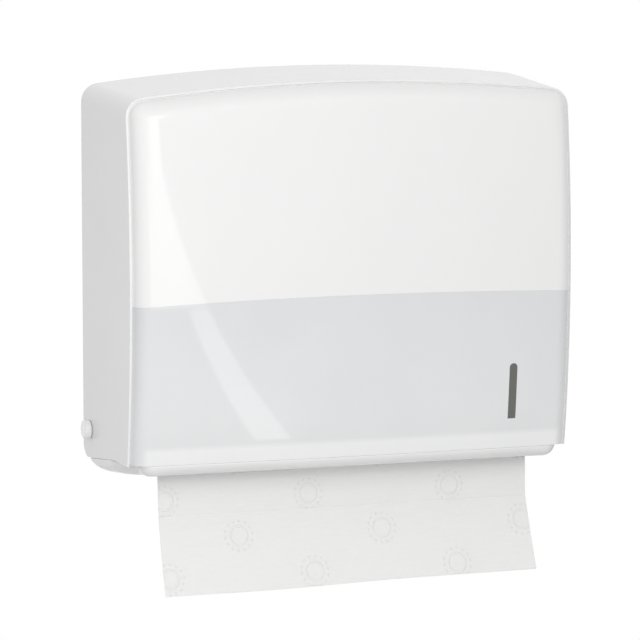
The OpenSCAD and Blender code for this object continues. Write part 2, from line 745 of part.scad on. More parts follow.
// The tray seen from above, drawn in by inset, with round front corners
module tray_plan(inset) {
    w0 = tray_half_w - inset;
    y0 = tray_front + inset;
    y1 = tray_rear - inset;
    r = tray_corner_r - inset / 2;
    w1 = w0 + tray_spread;
    arc = [for (k = [0:tray_steps])
        let (a = mix(-90, 0, k / tray_steps))
        [w0 - r + r * cos(a), y0 + r + r * sin(a)]];
    polygon(concat(arc, [[w1, y1], [-w1, y1]], mirrored(arc)));
}

// Side view of the tray: the rounded front edge, the falling lower edge and its round rear end
module tray_profile() {
    fall = tray_fall / (tray_rear - tray_front);
    ang = atan(fall);
    heel_y = tray_rear - tray_heel_r;
    heel_z = tray_low - fall * (heel_y - tray_front) + tray_heel_r / cos(ang);
    edge = [for (k = [0:tray_steps])
        let (a = mix(180, 270 - ang, k / tray_steps))
        [tray_front + tray_edge_r + tray_edge_r * cos(a), tray_low + tray_edge_r + tray_edge_r * sin(a)]];
    heel = [for (k = [0:tray_steps])
        let (a = mix(-90 - ang, 0, k / tray_steps))
        [heel_y + tray_heel_r * cos(a), heel_z + tray_heel_r * sin(a)]];
    polygon(concat(edge, heel, [[tray_rear, tray_back_top], [tray_rear - tray_wall, tray_back_top],
                                [tray_rear - tray_wall - tray_ramp, floor_z + tray_wall_h],
                                [tray_front, floor_z + tray_wall_h]]));
}

module tray() {
    low = tray_low - tray_fall - eps;
    color([0.92, 0.92, 0.91]) difference() {
        intersection() {
            translate([0, 0, low]) linear_extrude(tray_back_top - low + eps) tray_plan(0);
            across(2 * cover_rear_w) tray_profile();
        }
        translate([0, 0, floor_z]) linear_extrude(tray_back_top - floor_z + eps) tray_plan(tray_wall);
        translate([0, 0, low - eps]) linear_extrude(floor_z - floor_t - low + eps) tray_plan(tray_wall);
        block(-mouth_w / 2, mouth_w / 2, mouth_front, mouth_back, low, floor_z + eps);
        for (s = [-1, 1])
            block(s * (ear_in - clear), s * cover_rear_w / 2, hinge_y - ear_r - clear, eps,
                  low - eps, tray_back_top + eps);
        screw_places("tray") bar_y(pass_r, eps, tray_rear - tray_wall - eps);
    }
}

// A pan-head screw along Y, its head's seat at the origin and its shank towards the wall
module pan_screw() {
    r = screw_head_d / 2;
    half = screw_head_h / 2;
    cross_w = 0.9;
    rotate([90, 0, 0]) {
        difference() {
            rotate_extrude($fn = 48)
                polygon([[0, 0], [r, 0], [r, half], [r - half, screw_head_h], [0, screw_head_h]]);
            for (a = [0, 90]) rotate([0, 0, a])
                translate([-r / 2, -cross_w / 2, half]) cube([r, cross_w, screw_head_h]);
        }
        translate([0, 0, -screw_l + clear]) cylinder(d = screw_d, h = screw_l, $fn = 40);
    }
}

module tray_screws() {
    color([0.7, 0.7, 0.72]) screw_places("tray") translate([0, tray_rear - tray_wall, 0]) pan_screw();
}

// Upright guide on one side of the pack
guide_back = plate_y - seat_gap;
guide_round = 12;
module stack_guide(s) {
    front = plate_y - guide_reach;
    high = guide_low + guide_h;
    difference() {
        union() {
            translate([s * (guide_x + guide_t / 2), 0, 0]) across(guide_t) {
                translate([front, guide_low]) square([guide_back - front, guide_h - guide_round]);
                translate([front + guide_round, guide_low])
                    square([guide_back - front - guide_round, guide_h]);
                translate([front + guide_round, high - guide_round]) circle(r = guide_round, $fn = 48);
            }
            block(s * (guide_x - guide_flange), s * (guide_x + guide_t / 2), guide_back, guide_back - guide_t,
                  guide_low, high);
        }
        screw_places("guide") bar_y(pass_r, eps, guide_back - guide_t - eps);
    }
}

module left_stack_guide() { color([0.9, 0.9, 0.89]) stack_guide(-1); }
module right_stack_guide() { color([0.9, 0.9, 0.89]) stack_guide(1); }

module guide_screws() {
    color([0.7, 0.7, 0.72]) screw_places("guide") translate([0, guide_back - guide_t, 0]) pan_screw();
}

// Hinge pins with their washers and clips, along X
cover_out = side_hw(hinge_y);
clip_t = 0.8;
clip_r = 5.5;
clip_fit = 0.05;
groove_depth = 0.8;
pin_tail = 2.2;
head_round = 0.8;

module hinge_pin(s) {
    x_head = cover_out + head_gap;
    r = head_d / 2;
    inner = [r - head_round, head_t - head_round];
    round_edge = [for (a = [0:15:90]) inner + head_round * [cos(a), sin(a)]];
    translate([0, hinge_y, hinge_z]) mirror([s < 0 ? 1 : 0, 0, 0]) {
        difference() {
            bar_x(pin_d / 2, ear_in - pin_tail, x_head + head_t / 2);
            difference() {
                bar_x(pin_d, ear_in - clip_t - 3 * clip_fit, ear_in - clip_fit);
                bar_x(pin_d / 2 - groove_depth, ear_in - pin_tail - eps, ear_in + eps);
            }
        }
        translate([x_head, 0, 0]) rotate([0, 90, 0]) rotate_extrude($fn = 64)
            polygon(concat([[0, 0], [r, 0]], round_edge, [[0, head_t]]));
    }
}

module left_hinge_pin() { color([0.95, 0.95, 0.94]) hinge_pin(-1); }
module right_hinge_pin() { color([0.95, 0.95, 0.94]) hinge_pin(1); }

module ring_x(r_in, r_out, x0, x1) {
    difference() {
        bar_x(r_out, x0, x1);
        bar_x(r_in, min(x0, x1) - eps, max(x0, x1) + eps);
    }
}

washer_seat = 0.02;
washer_r = ear_r - 1.5;
module hinge_washers() {
    color([0.85, 0.85, 0.83]) for (s = [-1, 1]) translate([0, hinge_y, hinge_z])
        ring_x(pin_d / 2 + pin_fit, washer_r, s * (ear_out + washer_seat), s * (ear_out + washer_t));
}

module pin_clips() {
    color([0.6, 0.6, 0.62]) for (s = [-1, 1]) translate([0, hinge_y, hinge_z])
        ring_x(pin_d / 2 - groove_depth + clip_fit, clip_r,
               s * (ear_in - clip_t - 2 * clip_fit), s * (ear_in - 2 * clip_fit));
}

// Latch bolt: nose in front of the lug, web under it, release tab behind it
module latch_bolt() {
    color([0.35, 0.36, 0.38]) {
        block(-bolt_w / 2, bolt_w / 2, bolt_back, bolt_front, bolt_low, web_top);
        block(-bolt_nose_w / 2, bolt_nose_w / 2, bolt_back, bolt_front, bolt_low, bolt_nose_top);
        block(-tab_w / 2, tab_w / 2, bolt_front, tab_back - tab_t, web_top - web_t, web_top);
        block(-tab_w / 2, tab_w / 2, tab_back, tab_back - tab_t, web_top - web_t, cover_top - tab_sink);
    }
}

// Latch spring: one coil of round wire, with points worked out along a helix
spring_rings = 8;
wire_sides = 6;
spring_r = (spring_d - wire_d) / 2;
function spring_point(t) =
    let (a = 360 * spring_turns * t)
    [spring_r * cos(a), spring_y + spring_r * sin(a), mix(spring_low + wire_d, spring_top - wire_d, t)];
spring_steps = spring_turns * spring_rings;
function spring_ring(k) =
    let (a = 360 * spring_turns * k / spring_steps, c = spring_point(k / spring_steps))
    [for (i = [0:wire_sides - 1])
        let (b = 360 * i / wire_sides)
        c + wire_d / 2 * (cos(b) * [cos(a), sin(a), 0] + sin(b) * [0, 0, 1])];
spring_gap = (spring_l - 2 * wire_d) / spring_turns - wire_d;
echo(least_gap_between_spring_turns = spring_gap);

module latch_spring() {
    color([0.75, 0.75, 0.77]) swept([for (k = [0:spring_steps]) spring_ring(k)]);
}

latch_cover_t = 2;
module latch_cover() {
    half = latch_boss_x + latch_boss_r + 1;
    low = bolt_low + clear;
    high = web_top - bolt_travel;
    color([0.9, 0.9, 0.89]) difference() {
        block(-half, half, latch_plate_y, latch_plate_y - latch_cover_t, low, high);
        screw_places("latch") bar_y(pass_r, latch_plate_y + eps, latch_plate_y - latch_cover_t - eps);
    }
}

module latch_screws() {
    color([0.7, 0.7, 0.72]) screw_places("latch")
        translate([0, latch_plate_y - latch_cover_t, 0]) pan_screw();
}

// Pack of folded towels
pack_back = plate_y - guide_t - screw_head_h - 2 * clear;
pack_low = floor_z + seat_gap;
pack_round = 3;
module towel_stack() {
    color([0.96, 0.96, 0.95]) translate([pack_x, 0, 0]) across(towel_w)
        translate([pack_back - pack_d, pack_low]) {
            translate([pack_round, 0]) square([pack_d - 2 * pack_round, pack_h]);
            translate([0, pack_round]) square([pack_d, pack_h - 2 * pack_round]);
            for (y = [pack_round, pack_d - pack_round], z = [pack_round, pack_h - pack_round])
                translate([y, z]) circle(r = pack_round, $fn = 40);
        }
}

// Towel that hangs from the mouth, folded once and leaning forward below the fold
sheet_y = (mouth_front + mouth_back) / 2;
sheet_seat = 0.3;
sheet_top = pack_low - sheet_seat;
module hanging_towel() {
    fold_z = sheet_top - sheet_upper;
    end = [sheet_y - sheet_lower * sin(sheet_lean), fold_z - sheet_lower * cos(sheet_lean)];
    half = sheet_t / 2;
    square_off = half * [cos(sheet_lean), -sin(sheet_lean)];
    color([0.97, 0.97, 0.96]) translate([pack_x, 0, 0]) across(towel_w)
        polygon([[sheet_y - half, sheet_top], [sheet_y + half, sheet_top], [sheet_y + half, fold_z],
                 end + square_off, end - square_off, [sheet_y - half, fold_z]]);
}

back_plate();
tray();
left_stack_guide();
right_stack_guide();
left_hinge_pin();
right_hinge_pin();
hinge_washers();
pin_clips();
tray_screws();
guide_screws();
latch_bolt();
latch_spring();
latch_cover();
latch_screws();
cover_frame();
front_panel();
window_panel();
sight_lens();
lower_lip();
towel_stack();
hanging_towel();
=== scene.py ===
import json
import math
import random

import bmesh
import bpy
from mathutils import Matrix, Vector


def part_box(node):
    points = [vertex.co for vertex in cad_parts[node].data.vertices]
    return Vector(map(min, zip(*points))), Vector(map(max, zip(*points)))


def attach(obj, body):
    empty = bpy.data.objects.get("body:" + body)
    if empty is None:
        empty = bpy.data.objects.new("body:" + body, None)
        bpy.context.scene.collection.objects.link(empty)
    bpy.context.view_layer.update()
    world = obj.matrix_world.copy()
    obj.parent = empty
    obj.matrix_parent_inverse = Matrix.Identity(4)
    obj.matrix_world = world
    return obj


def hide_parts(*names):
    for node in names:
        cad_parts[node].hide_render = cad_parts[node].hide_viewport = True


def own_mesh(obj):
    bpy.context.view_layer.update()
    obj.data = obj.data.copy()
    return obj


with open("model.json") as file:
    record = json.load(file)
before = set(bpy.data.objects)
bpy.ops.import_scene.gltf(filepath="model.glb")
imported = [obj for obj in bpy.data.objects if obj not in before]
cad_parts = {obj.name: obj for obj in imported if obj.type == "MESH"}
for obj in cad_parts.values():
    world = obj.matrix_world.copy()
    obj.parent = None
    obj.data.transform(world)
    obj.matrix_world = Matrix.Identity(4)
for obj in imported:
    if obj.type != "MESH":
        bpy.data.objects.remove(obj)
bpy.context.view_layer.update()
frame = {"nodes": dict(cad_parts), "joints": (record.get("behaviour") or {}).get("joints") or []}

MM = 0.001
NODES = frame["nodes"]
chance = random.Random(11)


def ends(node):
    """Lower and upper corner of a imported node's box, in millimetres."""
    return [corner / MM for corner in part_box(node)]


def joint(name):
    return next(row for row in frame["joints"] if row["name"] == name)


# Driving sizes in millimetres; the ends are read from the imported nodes.
cover_high = ends("cover_frame")[1]
rear_hw = cover_high.x
cover_top = cover_high.z
rear_y = cover_high.y
cover_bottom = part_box("window_panel")[0].z / MM
side_taper = 3.8
cover_depth = 92.5
rim_lean = 3.9
rim_bulge = 9.0
rim_mid_z = -27.0
rim_half_z = 110.0
top_fall = 2.8
arch_r = 1100.0
corner_r = 11.0
side_dip = 1.5
side_run = 58.0
side_fall = 7.2
heel_r = 9.0
cover_wall = 2.8
panel_wall = 2.5
shoulder_w = 9.2
shoulder_h = 8.0
shoulder_cove = 0.7
face_bow = 2.5
skirt_d = 6.0
skirt_short = 0.3
skirt_play = 0.1
groove_w = 0.03
rim_w = 1.3
rim_round_w = 0.55
rim_round_d = 0.35
rim_plain = 0.15
rim_hollow = 0.5
rebate_d = 2.2
end_round = 0.4
ledge_h = 2.6
ledge_w = 2.0
ledge_gap = 0.05
split_drop = 14.6
split_arch = 2.9
split_gap = 0.03
front_hw = rear_hw - side_taper
rim_top = cover_top - top_fall
pin_r = 4.0
pin_play = 0.05
hinge_y, hinge_z = (length / MM for length in joint("cover_hinge")["pos_m"][1:])
swing_room = 10.0
swing_r = hinge_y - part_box("tray")[0].y / MM + swing_room


def mix(a, b, t):
    return a + (b - a) * t


def clamp(t):
    return min(1.0, max(0.0, t))


def smooth_step(t):
    return t * t * (3 - 2 * t)


def on_circle(centre, radius, degrees):
    a = math.radians(degrees)
    return centre[0] + radius * math.cos(a), centre[1] + radius * math.sin(a)


def rim_y(z):
    u = (z - rim_mid_z) / rim_half_z
    return rear_y - (cover_depth + rim_lean * u - rim_bulge * u * u)


def in_swing(y, z):
    """Near the hinge the cover's walls are bare inside, so that they swing past the tray."""
    return math.hypot(y - hinge_y, z - hinge_z) < swing_r


def corner_z(hw, top):
    return top - arch_r + math.sqrt((arch_r - corner_r) ** 2 - (hw - corner_r) ** 2)


def meet_angle(hw):
    """Angle at which an upper corner's arc meets the arch, in degrees from +X."""
    return 90 + math.degrees(math.asin((hw - corner_r) / (arch_r - corner_r)))


# Mesh helpers

# Angles in degrees between two faces, above which their shared edge is shaded sharp.
SHARP = 38
PANEL_SHARP = 50
PACK_SHARP = 40
SHEET_SHARP = 60
SOFTENED_SHARP = 20


def smooth_by_angle(mesh, degrees):
    mesh.shade_smooth()
    mesh.set_sharp_from_angle(angle=math.radians(degrees))


def add_object(name, data):
    made = bpy.data.objects.new(name, data)
    bpy.context.scene.collection.objects.link(made)
    return made


def mesh_object(name, points, faces, sharp=SHARP):
    """A mesh object from points in millimetres, with its faces turned outwards."""
    mesh = bpy.data.meshes.new(name)
    mesh.from_pydata([Vector(p) * MM for p in points], [], faces)
    bm = bmesh.new()
    bm.from_mesh(mesh)
    bmesh.ops.recalc_face_normals(bm, faces=bm.faces)
    bm.to_mesh(mesh)
    bm.free()
    smooth_by_angle(mesh, sharp)
    return add_object(name, mesh)


def grid_faces(rows, cols):
    """Quads between rows of open lines of cols points."""
    return [(r * cols + c, r * cols + c + 1, (r + 1) * cols + c + 1, (r + 1) * cols + c)
            for r in range(rows - 1) for c in range(cols - 1)]


def tube_faces(rows, cols, first=0):
    """Quads between closed rings of cols points, and two flat ends; first is the first point's number."""
    faces = [(r * cols + c, r * cols + (c + 1) % cols, (r + 1) * cols + (c + 1) % cols, (r + 1) * cols + c)
             for r in range(rows - 1) for c in range(cols)]
    faces += [tuple(reversed(range(cols))), tuple(range((rows - 1) * cols, rows * cols))]
    return [tuple(first + k for k in face) for face in faces]


def tube(name, rings):
    """A closed tube through rings of points."""
    points = [point for ring in rings for point in ring]
    return mesh_object(name, points, tube_faces(len(rings), len(rings[0])))


def turned(name, profile, y, z, sides=64):
    """A solid turned about an axis along X; the profile's points are places along X and radii."""
    turns = [2 * math.pi * k / sides for k in range(sides)]
    return tube(name, [[(x, y + r * math.cos(a), z + r * math.sin(a)) for a in turns] for x, r in profile])


def bevel(bm, edges, width, clamped):
    bmesh.ops.bevel(bm, geom=edges, offset=width * MM, segments=2, profile=0.5, affect="EDGES",
                    clamp_overlap=clamped)


def rounded_block(name, low, high, radius):
    """A block between two corners with all its edges rounded."""
    points = [(x, y, z) for x in (low[0], high[0]) for y in (low[1], high[1]) for z in (low[2], high[2])]
    faces = [(0, 1, 3, 2), (4, 6, 7, 5), (0, 4, 5, 1), (2, 3, 7, 6), (0, 2, 6, 4), (1, 5, 7, 3)]
    made = mesh_object(name, points, faces)
    bm = bmesh.new()
    bm.from_mesh(made.data)
    bevel(bm, list(bm.edges), radius, True)
    bm.to_mesh(made.data)
    bm.free()
    smooth_by_angle(made.data, SHARP)
    return made


def apply_modifiers(made):
    bpy.context.view_layer.update()
    whole = made.evaluated_get(bpy.context.evaluated_depsgraph_get())
    made.data = bpy.data.meshes.new_from_object(whole)
    made.modifiers.clear()


def combine(made, other, operation):
    """Joins another piece to made or cuts it away, and removes the other piece."""
    step = made.modifiers.new(operation.lower(), "BOOLEAN")
    step.operation = operation
    step.solver = "EXACT"
    step.object = other
    apply_modifiers(made)
    bpy.data.objects.remove(other)


def settle(made, body, finish, node):
    """Puts a finished piece on its body, in place of the node that it stands for."""
    made.data.materials.clear()
    made.data.materials.append(finish)
    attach(made, body)
    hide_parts(node)
    return made


# Shader nodes and shared node groups

def new_group(name, inputs, outputs):
    group = bpy.data.node_groups.new(name, "ShaderNodeTree")
    for label, kind, value in inputs:
        socket = group.interface.new_socket(label, in_out="INPUT", socket_type=kind)
        socket.default_value = value
    for label, kind in outputs:
        group.interface.new_socket(label, in_out="OUTPUT", socket_type=kind)
    return group, group.nodes.new("NodeGroupInput"), group.nodes.new("NodeGroupOutput")


def feed(tree, value, socket):
    """Links a socket to another node's output, or sets it to a plain value."""
    if isinstance(value, bpy.types.NodeSocket):
        tree.links.new(value, socket)
    else:
        socket.default_value = value


def noise(tree, vector, scale, detail, roughness):
    node = tree.nodes.new("ShaderNodeTexNoise")
    for label, value in (("Vector", vector), ("Scale", scale), ("Detail", detail), ("Roughness", roughness)):
        feed(tree, value, node.inputs[label])
    return node.outputs["Fac"]


def math_node(tree, operation, a, b=None):
    node = tree.nodes.new("ShaderNodeMath")
    node.operation = operation
    for value, socket in zip((a, b), node.inputs):
        if value is not None:
            feed(tree, value, socket)
    return node.outputs[0]


def map_range(tree, value, low, high, to_low, to_high, smooth=False):
    node = tree.nodes.new("ShaderNodeMapRange")
    node.clamp = True
    if smooth:
        node.interpolation_type = "SMOOTHSTEP"
    labels = ("Value", "From Min", "From Max", "To Min", "To Max")
    for label, number in zip(labels, (value, low, high, to_low, to_high)):
        feed(tree, number, node.inputs[label])
    return node.outputs["Result"]


def mix_colour(tree, share, a, b, blend="MIX"):
    node = tree.nodes.new("ShaderNodeMix")
    node.data_type = "RGBA"
    node.blend_type = blend
    # Of the node's many sockets, these take the share and two colours, and output 2 gives the mixed one.
    for value, socket in zip((share, a, b), (node.inputs[0], node.inputs[6], node.inputs[7])):
        feed(tree, value, socket)
    return node.outputs[2]


def object_coordinates(tree):
    return tree.nodes.new("ShaderNodeTexCoord").outputs["Object"]


def split_axes(tree, vector):
    node = tree.nodes.new("ShaderNodeSeparateXYZ")
    tree.links.new(vector, node.inputs[0])
    return node.outputs


def moulded_skin_group():
    """Moulded plastic: faint flow mottling, uneven gloss and a fine grain."""
    group, given, out = new_group(
        "moulded_skin",
        [("Colour", "NodeSocketColor", (0.8, 0.8, 0.8, 1)), ("Mottle", "NodeSocketFloat", 0.03),
         ("Roughness", "NodeSocketFloat", 0.3), ("Gloss Spread", "NodeSocketFloat", 0.04),
         ("Grain Scale", "NodeSocketFloat", 900.0)],
        [("Colour", "NodeSocketColor"), ("Roughness", "NodeSocketFloat"), ("Height", "NodeSocketFloat")])
    place = object_coordinates(group)
    flow = noise(group, place, scale=14.0, detail=4.0, roughness=0.55)
    darker = mix_colour(group, 1.0, given.outputs["Colour"], (0.9, 0.905, 0.91, 1), "MULTIPLY")
    share = math_node(group, "MULTIPLY", map_range(group, flow, 0.3, 0.7, 0.0, 1.0), given.outputs["Mottle"])
    # The darker colour is about a tenth darker, so its share is ten times the mottle's depth.
    share = math_node(group, "MULTIPLY", share, 10.0)
    group.links.new(mix_colour(group, share, given.outputs["Colour"], darker), out.inputs["Colour"])
    smear = noise(group, place, scale=45.0, detail=3.0, roughness=0.6)
    uneven = math_node(group, "SUBTRACT", smear, 0.5)
    spread = math_node(group, "MULTIPLY", uneven, given.outputs["Gloss Spread"])
    group.links.new(math_node(group, "ADD", given.outputs["Roughness"], spread), out.inputs["Roughness"])
    grain = noise(group, place, scale=given.outputs["Grain Scale"], detail=2.0, roughness=0.5)
    group.links.new(grain, out.inputs["Height"])
    return group


def tissue_group():
    """Tissue paper: long fibres, soft creping and a plain emboss of rings, each inside a circle of dots."""
    group, given, out = new_group(
        "tissue",
        [("Colour", "NodeSocketColor", (0.85, 0.85, 0.84, 1)), ("Ring Pitch", "NodeSocketFloat", 0.044),
         ("Emboss", "NodeSocketFloat", 1.0)],
        [("Colour", "NodeSocketColor"), ("Height", "NodeSocketFloat")])
    # Radii and half line widths as shares of the pitch.
    ring_r, dot_circle_r, dot_count = 0.12, 0.19, 14.0
    line_full, line_end = 0.006, 0.02
    dot_start, dot_full = -0.2, 0.7
    place = object_coordinates(group)
    axes = split_axes(group, place)
    along = math_node(group, "DIVIDE", axes["X"], given.outputs["Ring Pitch"])
    half_drop = math_node(group, "MULTIPLY", math_node(group, "FLOOR", along), 0.5)
    down = math_node(group, "DIVIDE", axes["Z"], given.outputs["Ring Pitch"])
    down = math_node(group, "ADD", down, half_drop)
    across = math_node(group, "SUBTRACT", math_node(group, "FRACT", along), 0.5)
    below = math_node(group, "SUBTRACT", math_node(group, "FRACT", down), 0.5)
    squares = math_node(group, "ADD", math_node(group, "MULTIPLY", across, across),
                        math_node(group, "MULTIPLY", below, below))
    away = math_node(group, "SQRT", squares)
    bands = []
    for radius in (ring_r, dot_circle_r):
        off = math_node(group, "ABSOLUTE", math_node(group, "SUBTRACT", away, radius))
        bands.append(map_range(group, off, line_full, line_end, 1.0, 0.0, True))
    turn = math_node(group, "MULTIPLY", math_node(group, "ARCTAN2", below, across), dot_count)
    dots = map_range(group, math_node(group, "SINE", turn), dot_start, dot_full, 0.0, 1.0, True)
    rings = math_node(group, "MAXIMUM", bands[0], math_node(group, "MULTIPLY", bands[1], dots))
    fibre = noise(group, place, scale=700.0, detail=4.0, roughness=0.6)
    crepe_place = group.nodes.new("ShaderNodeMapping")
    crepe_place.inputs["Scale"].default_value = (120.0, 400.0, 900.0)
    group.links.new(place, crepe_place.inputs["Vector"])
    crepe = noise(group, crepe_place.outputs[0], scale=1.0, detail=2.0, roughness=0.5)
    soft = math_node(group, "MULTIPLY", math_node(group, "ADD", fibre, crepe), 0.5)
    raised = math_node(group, "MULTIPLY", rings, given.outputs["Emboss"])
    group.links.new(math_node(group, "ADD", soft, raised), out.inputs["Height"])
    shade = map_range(group, soft, 0.35, 0.65, 0.0, 0.5)
    darker = mix_colour(group, 1.0, given.outputs["Colour"], (0.95, 0.95, 0.945, 1), "MULTIPLY")
    group.links.new(mix_colour(group, shade, given.outputs["Colour"], darker), out.inputs["Colour"])
    return group


MOULDED = moulded_skin_group()
TISSUE = tissue_group()


# Materials

PLASTIC_IOR = 1.5
COAT_ROUGHNESS = 0.03


def new_material(name):
    made = bpy.data.materials.new(name)
    made.use_nodes = True
    tree = made.node_tree
    return made, tree, tree.nodes["Principled BSDF"]


def add_bump(tree, shader, height, strength, distance):
    bump = tree.nodes.new("ShaderNodeBump")
    bump.inputs["Strength"].default_value = strength
    bump.inputs["Distance"].default_value = distance
    tree.links.new(height, bump.inputs["Height"])
    tree.links.new(bump.outputs["Normal"], shader.inputs["Normal"])


def place_group(tree, group, **values):
    node = tree.nodes.new("ShaderNodeGroup")
    node.node_tree = group
    for label, value in values.items():
        feed(tree, value, node.inputs[label.replace("_", " ")])
    return node


def moulded_skin(tree, shader, strength, distance, **values):
    """Gives a shader the moulded skin's colour, roughness and grain."""
    skin = place_group(tree, MOULDED, **values)
    tree.links.new(skin.outputs["Colour"], shader.inputs["Base Color"])
    tree.links.new(skin.outputs["Roughness"], shader.inputs["Roughness"])
    add_bump(tree, shader, skin.outputs["Height"], strength, distance)


def gloss_coat(shader, weight):
    shader.inputs["Coat Weight"].default_value = weight
    shader.inputs["Coat Roughness"].default_value = COAT_ROUGHNESS


def plastic(name, colour, roughness, mottle=0.03, grain=900.0, grain_depth=0.00002, coat=0.0):
    made, tree, shader = new_material(name)
    moulded_skin(tree, shader, strength=0.25, distance=grain_depth, Colour=(*colour, 1), Mottle=mottle,
                 Roughness=roughness, Gloss_Spread=0.05, Grain_Scale=grain)
    shader.inputs["IOR"].default_value = PLASTIC_IOR
    if coat:
        gloss_coat(shader, coat)
    return made


def plated_steel(name, colour, roughness):
    made, tree, shader = new_material(name)
    moulded_skin(tree, shader, strength=0.3, distance=0.00001, Colour=(*colour, 1), Mottle=0.06,
                 Roughness=roughness, Gloss_Spread=0.2, Grain_Scale=2500.0)
    shader.inputs["Metallic"].default_value = 1.0
    return made


def tissue_paper(name, colour, emboss):
    made, tree, shader = new_material(name)
    sheet = place_group(tree, TISSUE, Colour=(*colour, 1), Ring_Pitch=0.044, Emboss=emboss)
    tree.links.new(sheet.outputs["Colour"], shader.inputs["Base Color"])
    shader.inputs["Roughness"].default_value = 0.95
    shader.inputs["Specular IOR Level"].default_value = 0.15
    shader.inputs["Sheen Weight"].default_value = 0.15
    add_bump(tree, shader, sheet.outputs["Height"], strength=0.5, distance=0.00025)
    return made


def frosted_plastic(name, shaded_high_colour, low_colour, backed_colour, band_top, band_half):
    """Frosted window, painted in place of seeing through it: painted shade towards its top, where the cover
    is empty inside, paler towards its foot, a paler band where the tray's wall lies behind, and painted shade
    at its sides.
    """
    pale_z, shaded_z = -0.085, -0.012
    band_soft, end_in, end_out = 0.0022, 0.003, 0.002
    # Where and how much the window's sides are darkened by painted shade.
    side_shade_in, side_shade_out, side_shade_tint = 0.005, 0.007, (0.95, 0.95, 0.953, 1)
    made, tree, shader = new_material(name)
    axes = split_axes(tree, object_coordinates(tree))
    # Painted shade: darker towards the top, standing for the empty, shaded inside of the cover behind the
    # window.
    down = map_range(tree, axes["Z"], pale_z, shaded_z, 1.0, 0.0)
    clear = mix_colour(tree, down, (*shaded_high_colour, 1), (*low_colour, 1))
    under = map_range(tree, axes["Z"], band_top - band_soft, band_top + band_soft, 1.0, 0.0, True)
    across = math_node(tree, "ABSOLUTE", axes["X"])
    within = map_range(tree, across, band_half - end_in, band_half + end_out, 1.0, 0.0, True)
    colour = mix_colour(tree, math_node(tree, "MULTIPLY", under, within), clear, (*backed_colour, 1))
    # Painted shade: the sides are darkened, standing for the shaded cover sides behind the window's edges.
    side_shade = map_range(tree, across, band_half - side_shade_in, band_half + side_shade_out, 0.0, 1.0, True)
    colour = mix_colour(tree, side_shade, colour, side_shade_tint, "MULTIPLY")
    moulded_skin(tree, shader, strength=0.15, distance=0.00001, Colour=colour, Mottle=0.04,
                 Roughness=0.25, Gloss_Spread=0.05, Grain_Scale=1400.0)
    shader.inputs["IOR"].default_value = PLASTIC_IOR
    gloss_coat(shader, 1.0)
    return made


tray_wall_top = -98.0
tray_wall_half = 127.5
cover_white = plastic("cover_white", (0.86, 0.86, 0.858), roughness=0.2, grain=1100.0)
panel_white = plastic("panel_white", (0.85, 0.85, 0.845), roughness=0.25, mottle=0.015,
                      grain_depth=0.000008, coat=1.0)
# The window's upper colour holds painted shade, and its sides are darkened by painted shade.
window_frost = frosted_plastic("window_frost", shaded_high_colour=(0.715, 0.725, 0.738),
                               low_colour=(0.78, 0.785, 0.79), backed_colour=(0.885, 0.885, 0.885),
                               band_top=tray_wall_top * MM, band_half=tray_wall_half * MM)
lens_smoke = plastic("lens_smoke", (0.13, 0.13, 0.12), roughness=0.3, mottle=0.06)
tray_white = plastic("tray_white", (0.84, 0.84, 0.835), roughness=0.3)
chassis_white = plastic("chassis_white", (0.72, 0.72, 0.71), roughness=0.5, mottle=0.05, grain=700.0,
                        grain_depth=0.00004)
pin_white = plastic("pin_white", (0.88, 0.88, 0.875), roughness=0.2, coat=1.0)
washer_nylon = plastic("washer_nylon", (0.66, 0.655, 0.62), roughness=0.45)
latch_grey = plastic("latch_grey", (0.075, 0.08, 0.088), roughness=0.42, mottle=0.08)
spring_wire = plated_steel("spring_wire", (0.56, 0.56, 0.58), roughness=0.28)
zinc_plate = plated_steel("zinc_plate", (0.62, 0.63, 0.66), roughness=0.36)
towel_sheet = tissue_paper("towel_sheet", (0.86, 0.86, 0.855), emboss=2.4)
towel_pack = tissue_paper("towel_pack", (0.82, 0.82, 0.81), emboss=0.0)


# Cover frame

rim_low = rim_y(cover_bottom)
level_y = rear_y - side_run
side_slope = side_fall / side_run


def side_edge(y):
    """Height of the sides' lower edge, level near the rim and sloping behind."""
    return cover_bottom - side_dip - side_slope * max(0.0, y - level_y)


HEEL_Y = rear_y - heel_r
HEEL_Z = side_edge(HEEL_Y) + heel_r / math.cos(math.atan(side_slope))


def low_edge(y):
    """Height of the sides' lower edge with its round heel."""
    if y <= HEEL_Y - heel_r * math.sin(math.atan(side_slope)):
        return side_edge(y)
    return HEEL_Z - math.sqrt(max(0.0, heel_r ** 2 - (y - HEEL_Y) ** 2))


# Stations along the cover's outline: up a side, round its corner and across the arch.
SIDE_STEPS, CORNER_STEPS, ARCH_STEPS = 26, 14, 44
LEFT_STEPS = SIDE_STEPS + CORNER_STEPS
ALL_STEPS = 2 * LEFT_STEPS + ARCH_STEPS
REFINE_ROUNDS = 8


